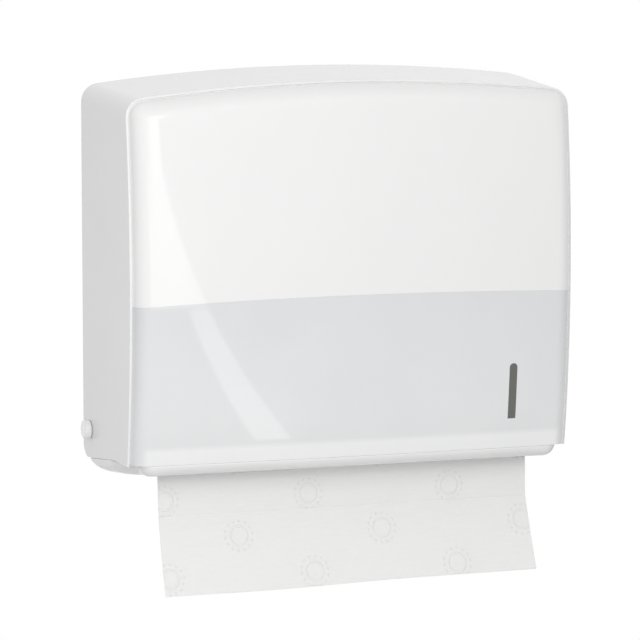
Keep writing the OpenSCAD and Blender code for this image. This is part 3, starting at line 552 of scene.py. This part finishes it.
def wall_point(station, back, inset, share=None):
    """A point of the cover's wall: station runs along the outline, back is the distance behind the rim
    (or share is the part of the depth from the rear edge), and inset lies inwards from the outer face."""
    flip = 1
    if station > ALL_STEPS / 2:
        station = ALL_STEPS - station
        flip = -1
    front_arc_z = corner_z(front_hw, rim_top)
    if station <= SIDE_STEPS:
        # A side's depth and height depend on each other, so they are refined in turn.
        z = front_arc_z
        for _ in range(REFINE_ROUNDS):
            y = mix(rear_y, rim_y(z), share) if share is not None else rim_y(z) + back
            z = mix(low_edge(y), front_arc_z, station / SIDE_STEPS)
        t = (rear_y - y) / (rear_y - rim_y(z))
        hw = mix(rear_hw, front_hw, t)
        top = mix(cover_top, rim_top, t)
        z = mix(low_edge(y), corner_z(hw, top), station / SIDE_STEPS)
        return -flip * (hw - inset), y, z

    def outline(hw, top):
        if station <= LEFT_STEPS:
            angle = mix(180, meet_angle(hw), (station - SIDE_STEPS) / CORNER_STEPS)
            return on_circle((-(hw - corner_r), corner_z(hw, top)), corner_r - inset, angle)
        angle = mix(meet_angle(hw), 180 - meet_angle(hw), (station - LEFT_STEPS) / ARCH_STEPS)
        return on_circle((0.0, top - arch_r), arch_r - inset, angle)

    z_front = outline(front_hw, rim_top)[1]
    y = mix(rear_y, rim_y(z_front), share) if share is not None else rim_y(z_front) + back
    t = (rear_y - y) / (rear_y - rim_y(z_front))
    x, z = outline(mix(rear_hw, front_hw, t), mix(cover_top, rim_top, t))
    return flip * x, y, z


def rim_softness(station):
    """Share of the rim's rounding: whole at the sides, little along the top, where its face leans in."""
    along = min(station, ALL_STEPS - station)
    return mix(1.0, rim_plain, smooth_step(clamp((along - SIDE_STEPS) / CORNER_STEPS)))


def catch_lug():
    """Lug under the cover's top that the latch bolt holds."""
    lug_w, lug_t, lug_h, lug_edge, lug_round = 18.0, 2.5, 8.6, 1.0, 0.4
    root = cover_top - cover_wall / 2
    low = (-lug_w / 2, rear_y - lug_edge - lug_t, cover_top - cover_wall - lug_h)
    return rounded_block("catch_lug", low, (lug_w / 2, rear_y - lug_edge, root), lug_round)


def cover_frame():
    w = cover_wall
    # The section is given by shares of the depth, or by distances behind the rim, each with an inset.
    rear_edge = [("share", 0.0, 0.4), ("share", 0.0016, 0.1), ("share", 0.0048, 0.0)]
    outer_end, inner_end, depth_steps = 0.985, 0.85, 10
    shares = [(heel_r * (1 - math.cos(math.radians(a)))) / cover_depth for a in range(20, 91, 10)]
    heel_end = shares[-1]
    shares += [mix(heel_end, outer_end, k / depth_steps) for k in range(1, depth_steps + 1)]
    outer = [(rim_round_w * (1 - math.cos(a)), rim_round_d * (1 - math.sin(a)))
             for a in (math.radians(d) for d in range(0, 91, 15))]
    rear = rear_edge + [("share", s, 0.0) for s in shares]
    foot = [(rim_w, rebate_d), (w, rebate_d), (w, skirt_d)]
    tail = [("share", s, w) for s in reversed([s for s in shares if s < inner_end])]
    tail += [(kind, depth, w - inset) for kind, depth, inset in reversed(rear_edge)]

    def section(station):
        _, y, z = wall_point(station, skirt_d, w)
        rise = 0.0 if in_swing(y, z) else ledge_h
        ledge = [(w + rise, skirt_d + ledge_gap), (w + rise, skirt_d + ledge_w),
                 (w, skirt_d + ledge_w + ledge_h)]
        soft = rim_softness(station)
        rim = [(inset * soft, back * soft) for inset, back in outer] + [(rim_w, rim_hollow * (1 - soft))]
        return rear + [("back", back, inset) for inset, back in rim + foot + ledge] + tail

    def ring(station, off=0.0, rise=0.0):
        """The wall's section at a station, drawn in by off and lifted by rise at the round lower ends."""
        keep = 1 - off / (w / 2)
        points = []
        for kind, depth, inset in section(station):
            inset = mix(w / 2, inset, keep)
            if kind == "back":
                x, y, z = wall_point(station, mix(w / 2, depth, keep) if depth < w / 2 else depth, inset)
            else:
                x, y, z = wall_point(station, 0.0, inset, depth)
            points.append((x, y, z + rise))
        return points

    end_steps = 5
    lower_ends = [math.radians(90 * (1 - k / end_steps)) for k in range(end_steps + 1)]
    lower_ends = [(end_round * (1 - math.cos(a)), end_round * (1 - math.sin(a))) for a in lower_ends]
    rings = [ring(0, off, rise) for off, rise in lower_ends] + [ring(k) for k in range(1, ALL_STEPS)]
    rings += [ring(ALL_STEPS, off, rise) for off, rise in reversed(lower_ends)]
    made = tube("cover_frame_shell", rings)
    combine(made, catch_lug(), "UNION")
    bore_r, bore_past = pin_r + pin_play, 5.0
    bore = [(-rear_hw - bore_past, bore_r), (rear_hw + bore_past, bore_r)]
    combine(made, turned("hinge_bore", bore, hinge_y, hinge_z), "DIFFERENCE")
    smooth_by_angle(made.data, SHARP)
    return settle(made, "cover", cover_white, "cover_frame")


# Front panels

edge_lost = rim_w + groove_w


def edge_distance(x, z, inset):
    cz, cx = corner_z(front_hw, rim_top), front_hw - corner_r
    lost = edge_lost + inset
    if abs(x) > cx and z > cz:
        return corner_r - math.hypot(abs(x) - cx, z - cz) - lost
    return min(front_hw - abs(x), arch_r - math.hypot(x, z - rim_top + arch_r)) - lost


def face_y(x, z, inset=0.0):
    """Depth of a panel's face: a small cove at the rim, a rounded shoulder and a bowed front."""
    c = max(0.0, shoulder_cove - inset)
    w, h = shoulder_w - inset - c, shoulder_h - inset - c
    e = max(edge_distance(x, z, inset), 0.0)
    if e < c:
        rise = c - math.sqrt(c * c - e * e)
    else:
        rise = c + h * math.sqrt(1 - (1 - min((e - c) / w, 1.0)) ** 2)
    return rim_y(z) - rise - face_bow * (1 - (x / front_hw) ** 2) * rise / (c + h)


def split_z(x, side):
    return -split_drop + split_arch * (1 - (x / front_hw) ** 2) + side * split_gap / 2


PANEL_COLS, PANEL_ROWS, ARC_STEPS = 56, 44, 14


def columns(hw):
    """Places across a panel, closer together over its shoulders."""
    over = shoulder_w + shoulder_cove
    left = [-hw + (1 - math.cos(math.radians(90 * k / ARC_STEPS))) * over for k in range(ARC_STEPS + 1)]
    inner = [mix(left[-1], -left[-1], k / PANEL_COLS) for k in range(1, PANEL_COLS)]
    return left + inner + [-x for x in reversed(left)]


def corner_arc(inset, a, b):
    centre = (-(front_hw - corner_r), corner_z(front_hw, rim_top))
    return [on_circle(centre, corner_r - inset, mix(a, b, k / ARC_STEPS)) for k in range(ARC_STEPS + 1)]


def upper_grid(inset):
    """Grid of (x, z) points over the upper panel, blended between its four edges."""
    lost = edge_lost + inset
    hw = front_hw - lost
    meet = meet_angle(front_hw)
    mid = (180 + meet) / 2
    high = corner_z(front_hw, rim_top)
    left = [(-hw, mix(split_z(hw, 1), high, k / PANEL_ROWS)) for k in range(PANEL_ROWS)]
    left += corner_arc(lost, 180, mid)
    arc = corner_arc(lost, mid, meet)
    arch = [on_circle((0.0, rim_top - arch_r), arch_r - lost, mix(meet, 180 - meet, k / PANEL_COLS))
            for k in range(1, PANEL_COLS)]
    top = arc + arch + [(-x, z) for x, z in reversed(arc)]
    low = [(x, split_z(x, 1)) for x in columns(hw)]
    n, m = len(left) - 1, len(low) - 1
    rows = []
    for i in range(n + 1):
        v = (left[i][1] - left[0][1]) / (left[n][1] - left[0][1])
        row = []
        for j in range(m + 1):
            u = (low[j][0] + hw) / (2 * hw)
            x = mix(low[j][0], top[j][0], v) + mix(left[i][0], -left[i][0], u)
            x -= mix(mix(-hw, hw, u), mix(top[0][0], top[m][0], u), v)
            z = mix(low[j][1], top[j][1], v) + left[i][1] - mix(left[0][1], left[n][1], v)
            row.append((x, z))
        rows.append(row)
    return rows


def lower_grid(inset):
    """Grid of (x, z) points over the window."""
    hw = front_hw - edge_lost - inset
    return [[(x, mix(cover_bottom, split_z(x, -1), k / PANEL_ROWS)) for x in columns(hw)]
            for k in range(PANEL_ROWS + 1)]


def panel_shell(name, outer, inner, skirt_top):
    """A panel's shell: outer face, inner face, and a skirt inside the rim along its sides and top."""
    n, m = len(outer) - 1, len(outer[0]) - 1
    count = (n + 1) * (m + 1)

    def cell(i, j):
        return i * (m + 1) + j

    points = [(x, face_y(x, z), z) for row in outer for x, z in row]
    points += [(x, face_y(x, z, panel_wall), z) for row in inner for x, z in row]
    faces = grid_faces(n + 1, m + 1)
    faces += [tuple(count + k for k in reversed(face)) for face in faces]
    loop = [(0, j) for j in range(m)] + [(i, m) for i in range(n)]
    loop += [(n, j) for j in range(m, 0, -1)] + [(i, 0) for i in range(n, 0, -1)]
    feet = [[], []]
    for i, j in loop:
        skirted = j in (0, m) or (skirt_top and i == n)
        for side, grid, place in ((0, outer, 1 / 3), (1, inner, 2 / 3)):
            x, z = grid[i][j]
            if skirted:
                depth = skirt_short if in_swing(rim_y(z) + skirt_d, z) else rebate_d - skirt_play
                feet[side].append((x, rim_y(z) + depth, z))
            else:
                a, b = Vector(points[cell(i, j)]), Vector(points[count + cell(i, j)])
                feet[side].append(tuple(a.lerp(b, place)))
    points += feet[0] + feet[1]
    size = len(loop)
    rings = [[cell(i, j) for i, j in loop], [2 * count + k for k in range(size)],
             [2 * count + size + k for k in range(size)], [count + cell(i, j) for i, j in loop]]
    for a, b in zip(rings, rings[1:]):
        faces += [(a[k], a[(k + 1) % size], b[(k + 1) % size], b[k]) for k in range(size)]
    return mesh_object(name, points, faces, PANEL_SHARP)


def front_panel():
    made = panel_shell("upper_front", upper_grid(0.0), upper_grid(panel_wall), True)
    return settle(made, "cover", panel_white, "front_panel")


slot_edge, slot_w, slot_h, slot_drop = 38.3, 4.9, 33.5, 89.8
slot_x = front_hw - slot_edge


def slot_frame():
    """Place of the sight slot on the face: its own Y lies along the face's normal."""
    z = -slot_drop + slot_h / 2
    tilt = math.atan((face_y(slot_x, z + 1) - face_y(slot_x, z - 1)) / 2)
    return Matrix.Translation(Vector((slot_x, face_y(slot_x, z), z)) * MM) @ Matrix.Rotation(-tilt, 4, "X")


def slot_outline():
    """The slot's flat foot and round top, about its middle."""
    r = slot_w / 2
    round_top = [on_circle((0.0, slot_h / 2 - r), r, a) for a in range(0, 181, 10)]
    return [(r, -slot_h / 2)] + round_top + [(-r, -slot_h / 2)]


def window_panel():
    cut_past = 4.0
    made = panel_shell("frosted_window", lower_grid(0.0), lower_grid(panel_wall), False)
    rings = [[(x, y, z) for x, z in slot_outline()] for y in (-cut_past, panel_wall + cut_past)]
    cutter = tube("slot_cutter", rings)
    cutter.matrix_world = slot_frame()
    combine(made, cutter, "DIFFERENCE")
    smooth_by_angle(made.data, PANEL_SHARP)
    return settle(made, "cover", window_frost, "window_panel")


# Lower lip

lip_end = ends("lower_lip")[1].y
lip_inset = 6.9
lip_w = 11.0
lip_rear_w = 2.8
lip_h = 6.6
lip_round = 0.88
lip_corner_r = 8.5
lip_core = 0.5
lip_slope = 0.105
lip_heel_h = 6.5
lip_heel_l = 40.0
lip_set = 0.3
lip_seam = 0.1
lip_thin_l = 36.0
lip_thin_power = 1.5
lip_tuck = 12.0
lip_tucked = 8.0
lip_flush = 33.0
lip_least = 0.5
lip_edge = 0.35
lip_rear_in = 0.3
lip_x = front_hw - lip_inset
lip_cx = lip_x - lip_corner_r


def lip_y(x):
    """Depth of the lip's front, just behind the window's face."""
    return rim_low - shoulder_h - face_bow * (1 - (x / front_hw) ** 2) + lip_set


def lip_top(y):
    """Upper edge: under the window's foot, tucked inside the sides, then under the sides' lower edge."""
    return mix(cover_bottom, side_edge(y), clamp((y - rim_low - lip_tucked) / lip_tuck)) - lip_seam


def lip_depth(y):
    """Height of the lip at a depth; its lower edge rounds up at the rear ends."""
    u = clamp((y - lip_end + lip_heel_l) / lip_heel_l)
    rise = lip_heel_h * (1 - math.sqrt(1 - u * u))
    low = cover_bottom - lip_h - lip_slope * (y - lip_y(lip_cx)) + rise
    return max(lip_least, lip_top(y) - low)


def lip_section(x, y, out_x, out_y, reach):
    """One section: soft top edge, rounded underside, soft foot and inner side."""
    def at(run, drop, share=0.0):
        py = y - out_y * run
        depth = lip_depth(py)
        soft = min(1.0, depth / (3 * lip_edge))
        return x - out_x * run, py, lip_top(py) - depth * share - drop * soft

    soft_top = [(lip_edge * (1 - math.sin(a)), lip_edge * (1 - math.cos(a)))
                for a in (math.radians(d) for d in range(0, 91, 30))]
    ring = [at(run, drop) for run, drop in soft_top]
    ring += [at(lip_round * reach * (1 - math.cos(a)), 0.0, math.sin(a))
             for a in (math.radians(d) for d in range(9, 91, 9))]
    ring += [at(reach - run, -drop, 1.0) for run, drop in soft_top]
    ring += [at(reach - run, drop) for run, drop in reversed(soft_top)]
    return ring


def lip_side_x(y, front_y):
    """The lip's outer face: just inside the cover's sides at the rear, drawn in towards the front corners."""
    flush_y = rim_low + lip_flush
    t = clamp((flush_y - y) / (flush_y - front_y))
    side = mix(rear_hw, front_hw, (rear_y - y) / (rear_y - rim_low))
    return mix(side - lip_rear_in, lip_x, smooth_step(t))


def lower_lip():
    """A bar with a rounded underside, round the sides and front of the mouth below the cover."""
    side_count, corner_count, front_count, corner_ease = 60, 18, 60, 10.0
    cy = lip_y(lip_cx) + lip_corner_r
    corner_reach = lip_corner_r - lip_core

    def eased(reach, away):
        return mix(min(reach, corner_reach), reach, min(1.0, away / corner_ease))

    half = []
    for k in range(side_count):
        y = mix(lip_end, cy, k / side_count)
        reach = mix(lip_rear_w, lip_w, min(1.0, (lip_end - y) / lip_thin_l) ** lip_thin_power)
        half.append((lip_side_x(y, cy), y, 1.0, 0.0, eased(reach, y - cy)))
    for k in range(corner_count + 1):
        a = math.radians(90 * k / corner_count)
        half.append((lip_cx + lip_corner_r * math.cos(a), cy - lip_corner_r * math.sin(a),
                     math.cos(a), -math.sin(a), corner_reach))
    places = (mix(lip_cx, -lip_cx, k / front_count) for k in range(1, front_count))
    path = half + [(x, lip_y(x), 0.0, -1.0, eased(lip_w, lip_cx - abs(x))) for x in places]
    path += [(-x, y, -out_x, out_y, reach) for x, y, out_x, out_y, reach in reversed(half)]
    made = tube("moulded_lip", [lip_section(*place) for place in path])
    return settle(made, "cover", cover_white, "lower_lip")


# Towels

pack_low, pack_high = ends("towel_stack")
sheet_low, sheet_high = ends("hanging_towel")
sheet_x = (sheet_low.x + sheet_high.x) / 2
sheet_half = (sheet_high.x - sheet_low.x) / 2
sheet_t = 0.5
sheet_y = sheet_high.y - sheet_t
sheet_clear = 2.0
sheet_upper = 36.0
sheet_lower = 46.0
sheet_inside = 90.0
sheet_fold_r = 0.8
crease_d = 0.3
crease_w = 0.6
# Waves across the towel as depth, rate and phase, and how much deeper they are at the free edge.
towel_waves = ((0.55, 3.1, 0.6), (0.22, 7.3, 1.9))
wave_growth = 1.4
# Small ripples, with their rates across and down the towel.
ripple_d = 0.10
ripple_rates = ((11.0, 0.05), (2.0, 0.09))
# How far the free edge rises to the right, with a wave of its own.
edge_rise = 1.1
edge_wave = 0.25
edge_rate = 5.0
# Lean of the towel in degrees at its left and right: above the fold, just below it and at the free edge.
lean_above = (6.0, 2.0)
lean_below = (13.0, 24.0)
lean_end = (23.0, 27.0)
lean_run = 12.0


def towel_lean(u, s):
    """Forward lean of the towel, in degrees, at a place u across it and a length s below its fold."""
    right = (u + 1) / 2
    above, below = mix(*lean_above, right), mix(*lean_below, right)
    if s < -sheet_fold_r:
        return above * clamp((s + sheet_upper) / lean_run)
    if s < sheet_fold_r:
        return mix(above, below, (s + sheet_fold_r) / (2 * sheet_fold_r))
    return mix(below, mix(*lean_end, right), s / sheet_lower)


def towel_wave(u, s):
    """How far the towel's waves and crease stand back and up; the waves grow towards its free edge."""
    loose = max(0.0, (s + sheet_upper) / (sheet_lower + sheet_upper))
    wave = sum(depth * math.sin(rate * u + phase) for depth, rate, phase in towel_waves)
    ripple = ripple_d
    for across, down in ripple_rates:
        ripple *= math.sin(across * u + down * s)
    crease = crease_d * math.exp(-(s / crease_w) ** 2)
    back = (wave * wave_growth * loose + ripple) * loose + crease
    return back, (u * edge_rise + edge_wave * math.sin(edge_rate * u)) * loose ** 2


def hanging_towel():
    """One towel: flat inside the pack, creased once below the mouth, with soft waves near its free edge."""
    cols, hidden_rows, upper_rows, fold_rows, lower_rows = 110, 12, 34, 16, 44
    near = 2.0
    marks = [(-sheet_upper - sheet_inside, -sheet_upper, hidden_rows), (-sheet_upper, -near, upper_rows),
             (-near, near, fold_rows), (near, sheet_lower, lower_rows)]
    steps = [mix(a, b, k / count) for a, b, count in marks for k in range(count)] + [sheet_lower]
    columns_down = []
    for j in range(cols + 1):
        u = mix(-1, 1, j / cols)
        y, z = sheet_y, sheet_high.z - sheet_clear + sheet_inside
        down = []
        for k, s in enumerate(steps):
            if k:
                lean = math.radians(towel_lean(u, (s + steps[k - 1]) / 2))
                y -= math.sin(lean) * (s - steps[k - 1])
                z -= math.cos(lean) * (s - steps[k - 1])
            back, rise = towel_wave(u, s)
            down.append((sheet_x + u * sheet_half, y + back, z + rise))
        columns_down.append(down)
    points = [down[k] for k in range(len(steps)) for down in columns_down]
    made = mesh_object("drawn_towel", points, grid_faces(len(steps), cols + 1), SHEET_SHARP)
    thick = made.modifiers.new("paper", "SOLIDIFY")
    thick.thickness = sheet_t * MM
    thick.offset = 0.0
    apply_modifiers(made)
    smooth_by_angle(made.data, SHEET_SHARP)
    settle(made, "towel", towel_sheet, "hanging_towel")
    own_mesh(made)
    return made


def towel_stack():
    """The pack: a pile of folded towels, each a flat loop with a round fold in front and behind."""
    layers, fill, stray, slip = 40, 0.47, 1.2, 0.5
    pitch = (pack_high.z - pack_low.z) / layers
    half_t = pitch * fill
    points, faces = [], []
    for k in range(layers):
        z = pack_low.z + pitch * (k + 0.5)
        front = pack_low.y + chance.uniform(0.0, stray)
        back = pack_high.y - chance.uniform(0.0, stray)
        shift = chance.uniform(-slip, slip)
        arc = [on_circle((front + half_t, z), half_t, a) for a in range(90, 271, 30)]
        arc += [on_circle((back - half_t, z), half_t, a) for a in range(270, 451, 30)]
        faces += tube_faces(2, len(arc), len(points))
        points += [(x + shift, y, h) for x in (pack_low.x + slip, pack_high.x - slip) for y, h in arc]
    made = mesh_object("towel_pile", points, faces, PACK_SHARP)
    return settle(made, "chassis", towel_pack, "towel_stack")


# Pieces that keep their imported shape, with softened edges

def softened(node, name, body, finish, width, clamped=False):
    """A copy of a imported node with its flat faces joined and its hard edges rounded."""
    weld, flat_angle, hard_angle = 1e-6, math.radians(0.5), math.radians(30)
    mesh = bpy.data.meshes.new(name)
    bm = bmesh.new()
    bm.from_mesh(NODES[node].data)
    bmesh.ops.remove_doubles(bm, verts=bm.verts, dist=weld)
    bmesh.ops.dissolve_limit(bm, angle_limit=flat_angle, verts=bm.verts, edges=bm.edges)
    hard = [e for e in bm.edges if len(e.link_faces) == 2 and e.calc_face_angle(0) > hard_angle]
    bevel(bm, hard, width, clamped)
    bm.to_mesh(mesh)
    bm.free()
    smooth_by_angle(mesh, SOFTENED_SHARP)
    return settle(add_object(name, mesh), body, finish, node)


# Hinge pins and latch spring

def hinge_pin(node, side):
    """A pin with a clip groove near its tip and a soft-edged head close to the cover's side."""
    low, high = ends(node)
    tip, end = (low.x, high.x) if side > 0 else (-high.x, -low.x)
    head_r = (high.z - low.z) / 2
    head_t, soft, bead, chamfer = 3.94, 1.0, 0.1, 0.6
    groove_start, groove_end, groove_d = 1.25, 2.15, 0.8
    groove_front, groove_back, groove_r = tip + groove_start, tip + groove_end, pin_r - groove_d
    head = end - head_t
    profile = [(tip, pin_r - chamfer), (tip + chamfer, pin_r), (groove_front, pin_r),
               (groove_front, groove_r), (groove_back, groove_r), (groove_back, pin_r),
               (head, pin_r), (head, head_r - bead), (head + bead, head_r)]
    profile += [(end - soft + soft * math.sin(a), head_r - soft + soft * math.cos(a))
                for a in (math.radians(d) for d in range(0, 91, 15))]
    # The head's outer face is dished a little towards its middle.
    dish_d, dish_share, middle_d, middle_r = 0.1, 0.6, 0.15, 0.3
    profile += [(end - dish_d, head_r * dish_share), (end - middle_d, middle_r)]
    made = turned(node.replace("hinge", "turned"), [(side * x, r) for x, r in profile], hinge_y, hinge_z)
    return settle(made, "chassis", pin_white, node)


def coil_spring():
    """The latch spring: round wire along a helix, drawn at one length, though the real spring shortens as the
    bolt comes down.
    """
    low, high = ends("latch_spring")
    wire_r, turns, steps, sides = 0.4, 6, 32, 10
    coil_r = (high.x - low.x) / 2 - wire_r
    middle_x, middle_y = (low.x + high.x) / 2, (low.y + high.y) / 2
    count = turns * steps
    rings = []
    for k in range(count + 1):
        a = 2 * math.pi * k / steps
        z = mix(low.z + wire_r, high.z - wire_r, k / count)
        ring = []
        for s in range(sides):
            b = 2 * math.pi * s / sides
            r = coil_r + wire_r * math.cos(b)
            ring.append((middle_x + r * math.cos(a), middle_y + r * math.sin(a), z + wire_r * math.sin(b)))
        rings.append(ring)
    made = tube("coil_spring", rings)
    settle(made, "chassis", spring_wire, "latch_spring")
    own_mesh(made)
    return made


# All pieces

cover_frame()
front_panel()
window_panel()
lower_lip()
hanging_towel()
towel_stack()
softened("tray", "paper_tray", "chassis", tray_white, width=0.5, clamped=True)
softened("back_plate", "ribbed_back", "chassis", chassis_white, width=0.3)
softened("left_stack_guide", "left_pack_guide", "chassis", chassis_white, width=0.4)
softened("right_stack_guide", "right_pack_guide", "chassis", chassis_white, width=0.4)
softened("latch_cover", "bolt_keeper", "chassis", chassis_white, width=0.3)
softened("latch_bolt", "sliding_bolt", "latch", latch_grey, width=0.3)
hinge_pin("left_hinge_pin", -1)
hinge_pin("right_hinge_pin", 1)
coil_spring()
for node, finish in (("hinge_washers", washer_nylon), ("pin_clips", spring_wire), ("tray_screws", zinc_plate),
                     ("guide_screws", zinc_plate), ("latch_screws", zinc_plate), ("sight_lens", lens_smoke)):
    NODES[node].data.materials.clear()
    NODES[node].data.materials.append(finish)


# Stage, light and camera, in metres

def stage_mesh(name, points, faces, finish):
    mesh = bpy.data.meshes.new(name)
    mesh.from_pydata(points, [], faces)
    mesh.materials.append(finish)
    return add_object(name, mesh)


def studio_floor():
    """A pale floor that fades out towards its edges."""
    half, floor_z, fade_start, fade_end = 3.2, -1.2, 1.4, 3.1
    finish = plastic("pale_floor", (0.9, 0.9, 0.9), 0.8, mottle=0.01)
    tree = finish.node_tree
    away = tree.nodes.new("ShaderNodeVectorMath")
    away.operation = "LENGTH"
    tree.links.new(object_coordinates(tree), away.inputs[0])
    kept = map_range(tree, away.outputs["Value"], fade_start, fade_end, 1.0, 0.0, True)
    tree.links.new(kept, tree.nodes["Principled BSDF"].inputs["Alpha"])
    corners = [(-half, -half, 0), (half, -half, 0), (half, half, 0), (-half, half, 0)]
    made = stage_mesh("studio_floor", corners, [(0, 1, 2, 3)], finish)
    made.location.z = floor_z


# Strength of the world's light from each side.
WORLD_SIDES = (((-1, 0, 0), 0.18), ((0, -1, 0), 0.45), ((0, 1, 0), 0.68), ((0, 0, 1), 0.61))


def studio_world():
    """A world that is plain white to the camera and in reflections, and lights by side."""
    world = bpy.data.worlds.new("studio_world")
    bpy.context.scene.world = world
    world.use_nodes = True
    tree = world.node_tree
    tree.nodes.clear()
    out = tree.nodes.new("ShaderNodeOutputWorld")
    seen = tree.nodes.new("ShaderNodeBackground")
    seen.inputs["Color"].default_value = (1, 1, 1, 1)
    seen.inputs["Strength"].default_value = 1.0
    lit = tree.nodes.new("ShaderNodeBackground")
    lit.inputs["Color"].default_value = (1, 1, 1, 1)
    direction = tree.nodes.new("ShaderNodeTexCoord").outputs["Generated"]
    level = 0.0
    for axis, strength in WORLD_SIDES:
        facing = tree.nodes.new("ShaderNodeVectorMath")
        facing.operation = "DOT_PRODUCT"
        tree.links.new(direction, facing.inputs[0])
        facing.inputs[1].default_value = axis
        share = math_node(tree, "MAXIMUM", facing.outputs["Value"], 0.0)
        level = math_node(tree, "ADD", math_node(tree, "MULTIPLY", share, strength), level)
    tree.links.new(level, lit.inputs["Strength"])
    path = tree.nodes.new("ShaderNodeLightPath")
    direct = math_node(tree, "MAXIMUM", path.outputs["Is Camera Ray"], path.outputs["Is Transmission Ray"])
    direct = math_node(tree, "MAXIMUM", direct, path.outputs["Is Glossy Ray"])
    mixed = tree.nodes.new("ShaderNodeMixShader")
    tree.links.new(direct, mixed.inputs[0])
    tree.links.new(lit.outputs[0], mixed.inputs[1])
    tree.links.new(seen.outputs[0], mixed.inputs[2])
    tree.links.new(mixed.outputs[0], out.inputs[0])


LAMP_TARGET = (0.0, -0.06, -0.03)


def soft_light(name, place, size, power):
    data = bpy.data.lights.new(name, "AREA")
    data.shape = "RECTANGLE"
    data.size, data.size_y = size
    data.energy = power
    lamp = add_object(name, data)
    lamp.location = place
    lamp.rotation_euler = (Vector(LAMP_TARGET) - Vector(place)).to_track_quat("-Z", "Y").to_euler()
    lamp.visible_glossy = False


CARD_Y = -1.4
CARD_LEFT = -0.3
CARD_TOP = 0.6
CARD_FOOT_TOP = -0.245
CARD_FOOT_LOW = -0.705
CARD_FOOT_W = 0.027
CARD_FOOT_FLARE = 0.055


def card_left(z):
    return CARD_LEFT


def card_edge(z):
    """The lit card's curved right edge."""
    least_x, curve, least_z = 0.156, 0.211, 0.308
    return least_x + curve * (least_z - z) ** 2


def foot_left(z):
    """Left edge of the card's foot, which widens downwards."""
    return card_edge(z) - CARD_FOOT_W - CARD_FOOT_FLARE * (CARD_FOOT_TOP - z)


def lit_card(name, top, low, left, right, glow_left, glow_top, glow_low, steps=14):
    """An upright card that shines; left and right give its edges at a height, and its glow falls to the left
    and from its top to its foot."""
    finish, tree, shader = new_material(name + "_cloth")
    axes = split_axes(tree, object_coordinates(tree))
    across = map_range(tree, axes["X"], left(top), right(top), glow_left, 1.0)
    down = map_range(tree, axes["Z"], low, top, glow_low, glow_top)
    glow = tree.nodes.new("ShaderNodeEmission")
    tree.links.new(math_node(tree, "MULTIPLY", across, down), glow.inputs["Strength"])
    tree.links.new(glow.outputs[0], tree.nodes["Material Output"].inputs["Surface"])
    tree.nodes.remove(shader)
    heights = [mix(top, low, k / steps) for k in range(steps + 1)]
    points = [(edge(z), CARD_Y, z) for z in heights for edge in (left, right)]
    made = stage_mesh(name, points, grid_faces(steps + 1, 2), finish)
    made.visible_camera = False
    made.visible_diffuse = False


def lit_cards():
    """The card whose curved edge shows in the glossy panels, and its narrow foot."""
    overlap = 0.005
    lit_card("lit_card", CARD_TOP, CARD_FOOT_TOP + overlap, card_left, card_edge,
             glow_left=0.3, glow_top=3.2, glow_low=2.6)
    lit_card("lit_card_foot", CARD_FOOT_TOP, CARD_FOOT_LOW, foot_left, card_edge,
             glow_left=1.0, glow_top=2.8, glow_low=2.6)


def photo_camera():
    """The photograph's viewpoint: a long lens, to the left and a little above."""
    azimuth, elevation = math.radians(17.876), math.radians(7.797)
    forward = Vector((math.sin(azimuth) * math.cos(elevation), math.cos(azimuth) * math.cos(elevation),
                      -math.sin(elevation)))
    data = bpy.data.cameras.new("photo_camera")
    data.sensor_width = 36.0
    data.lens = 236.4
    data.clip_end = 50.0
    made = add_object("photo_camera", data)
    made.location = (-0.7622, -2.3996, 0.3040)
    made.rotation_euler = forward.to_track_quat("-Z", "Y").to_euler()
    bpy.context.scene.camera = made


studio_floor()
studio_world()
lit_cards()
soft_light("key_light", place=(-0.5, -1.0, 0.05), size=(0.5, 0.6), power=3.5)
soft_light("front_light", place=(0.1, -1.1, 0.55), size=(0.8, 0.5), power=2.8)
photo_camera()
bpy.context.scene.view_settings.view_transform = "Standard"
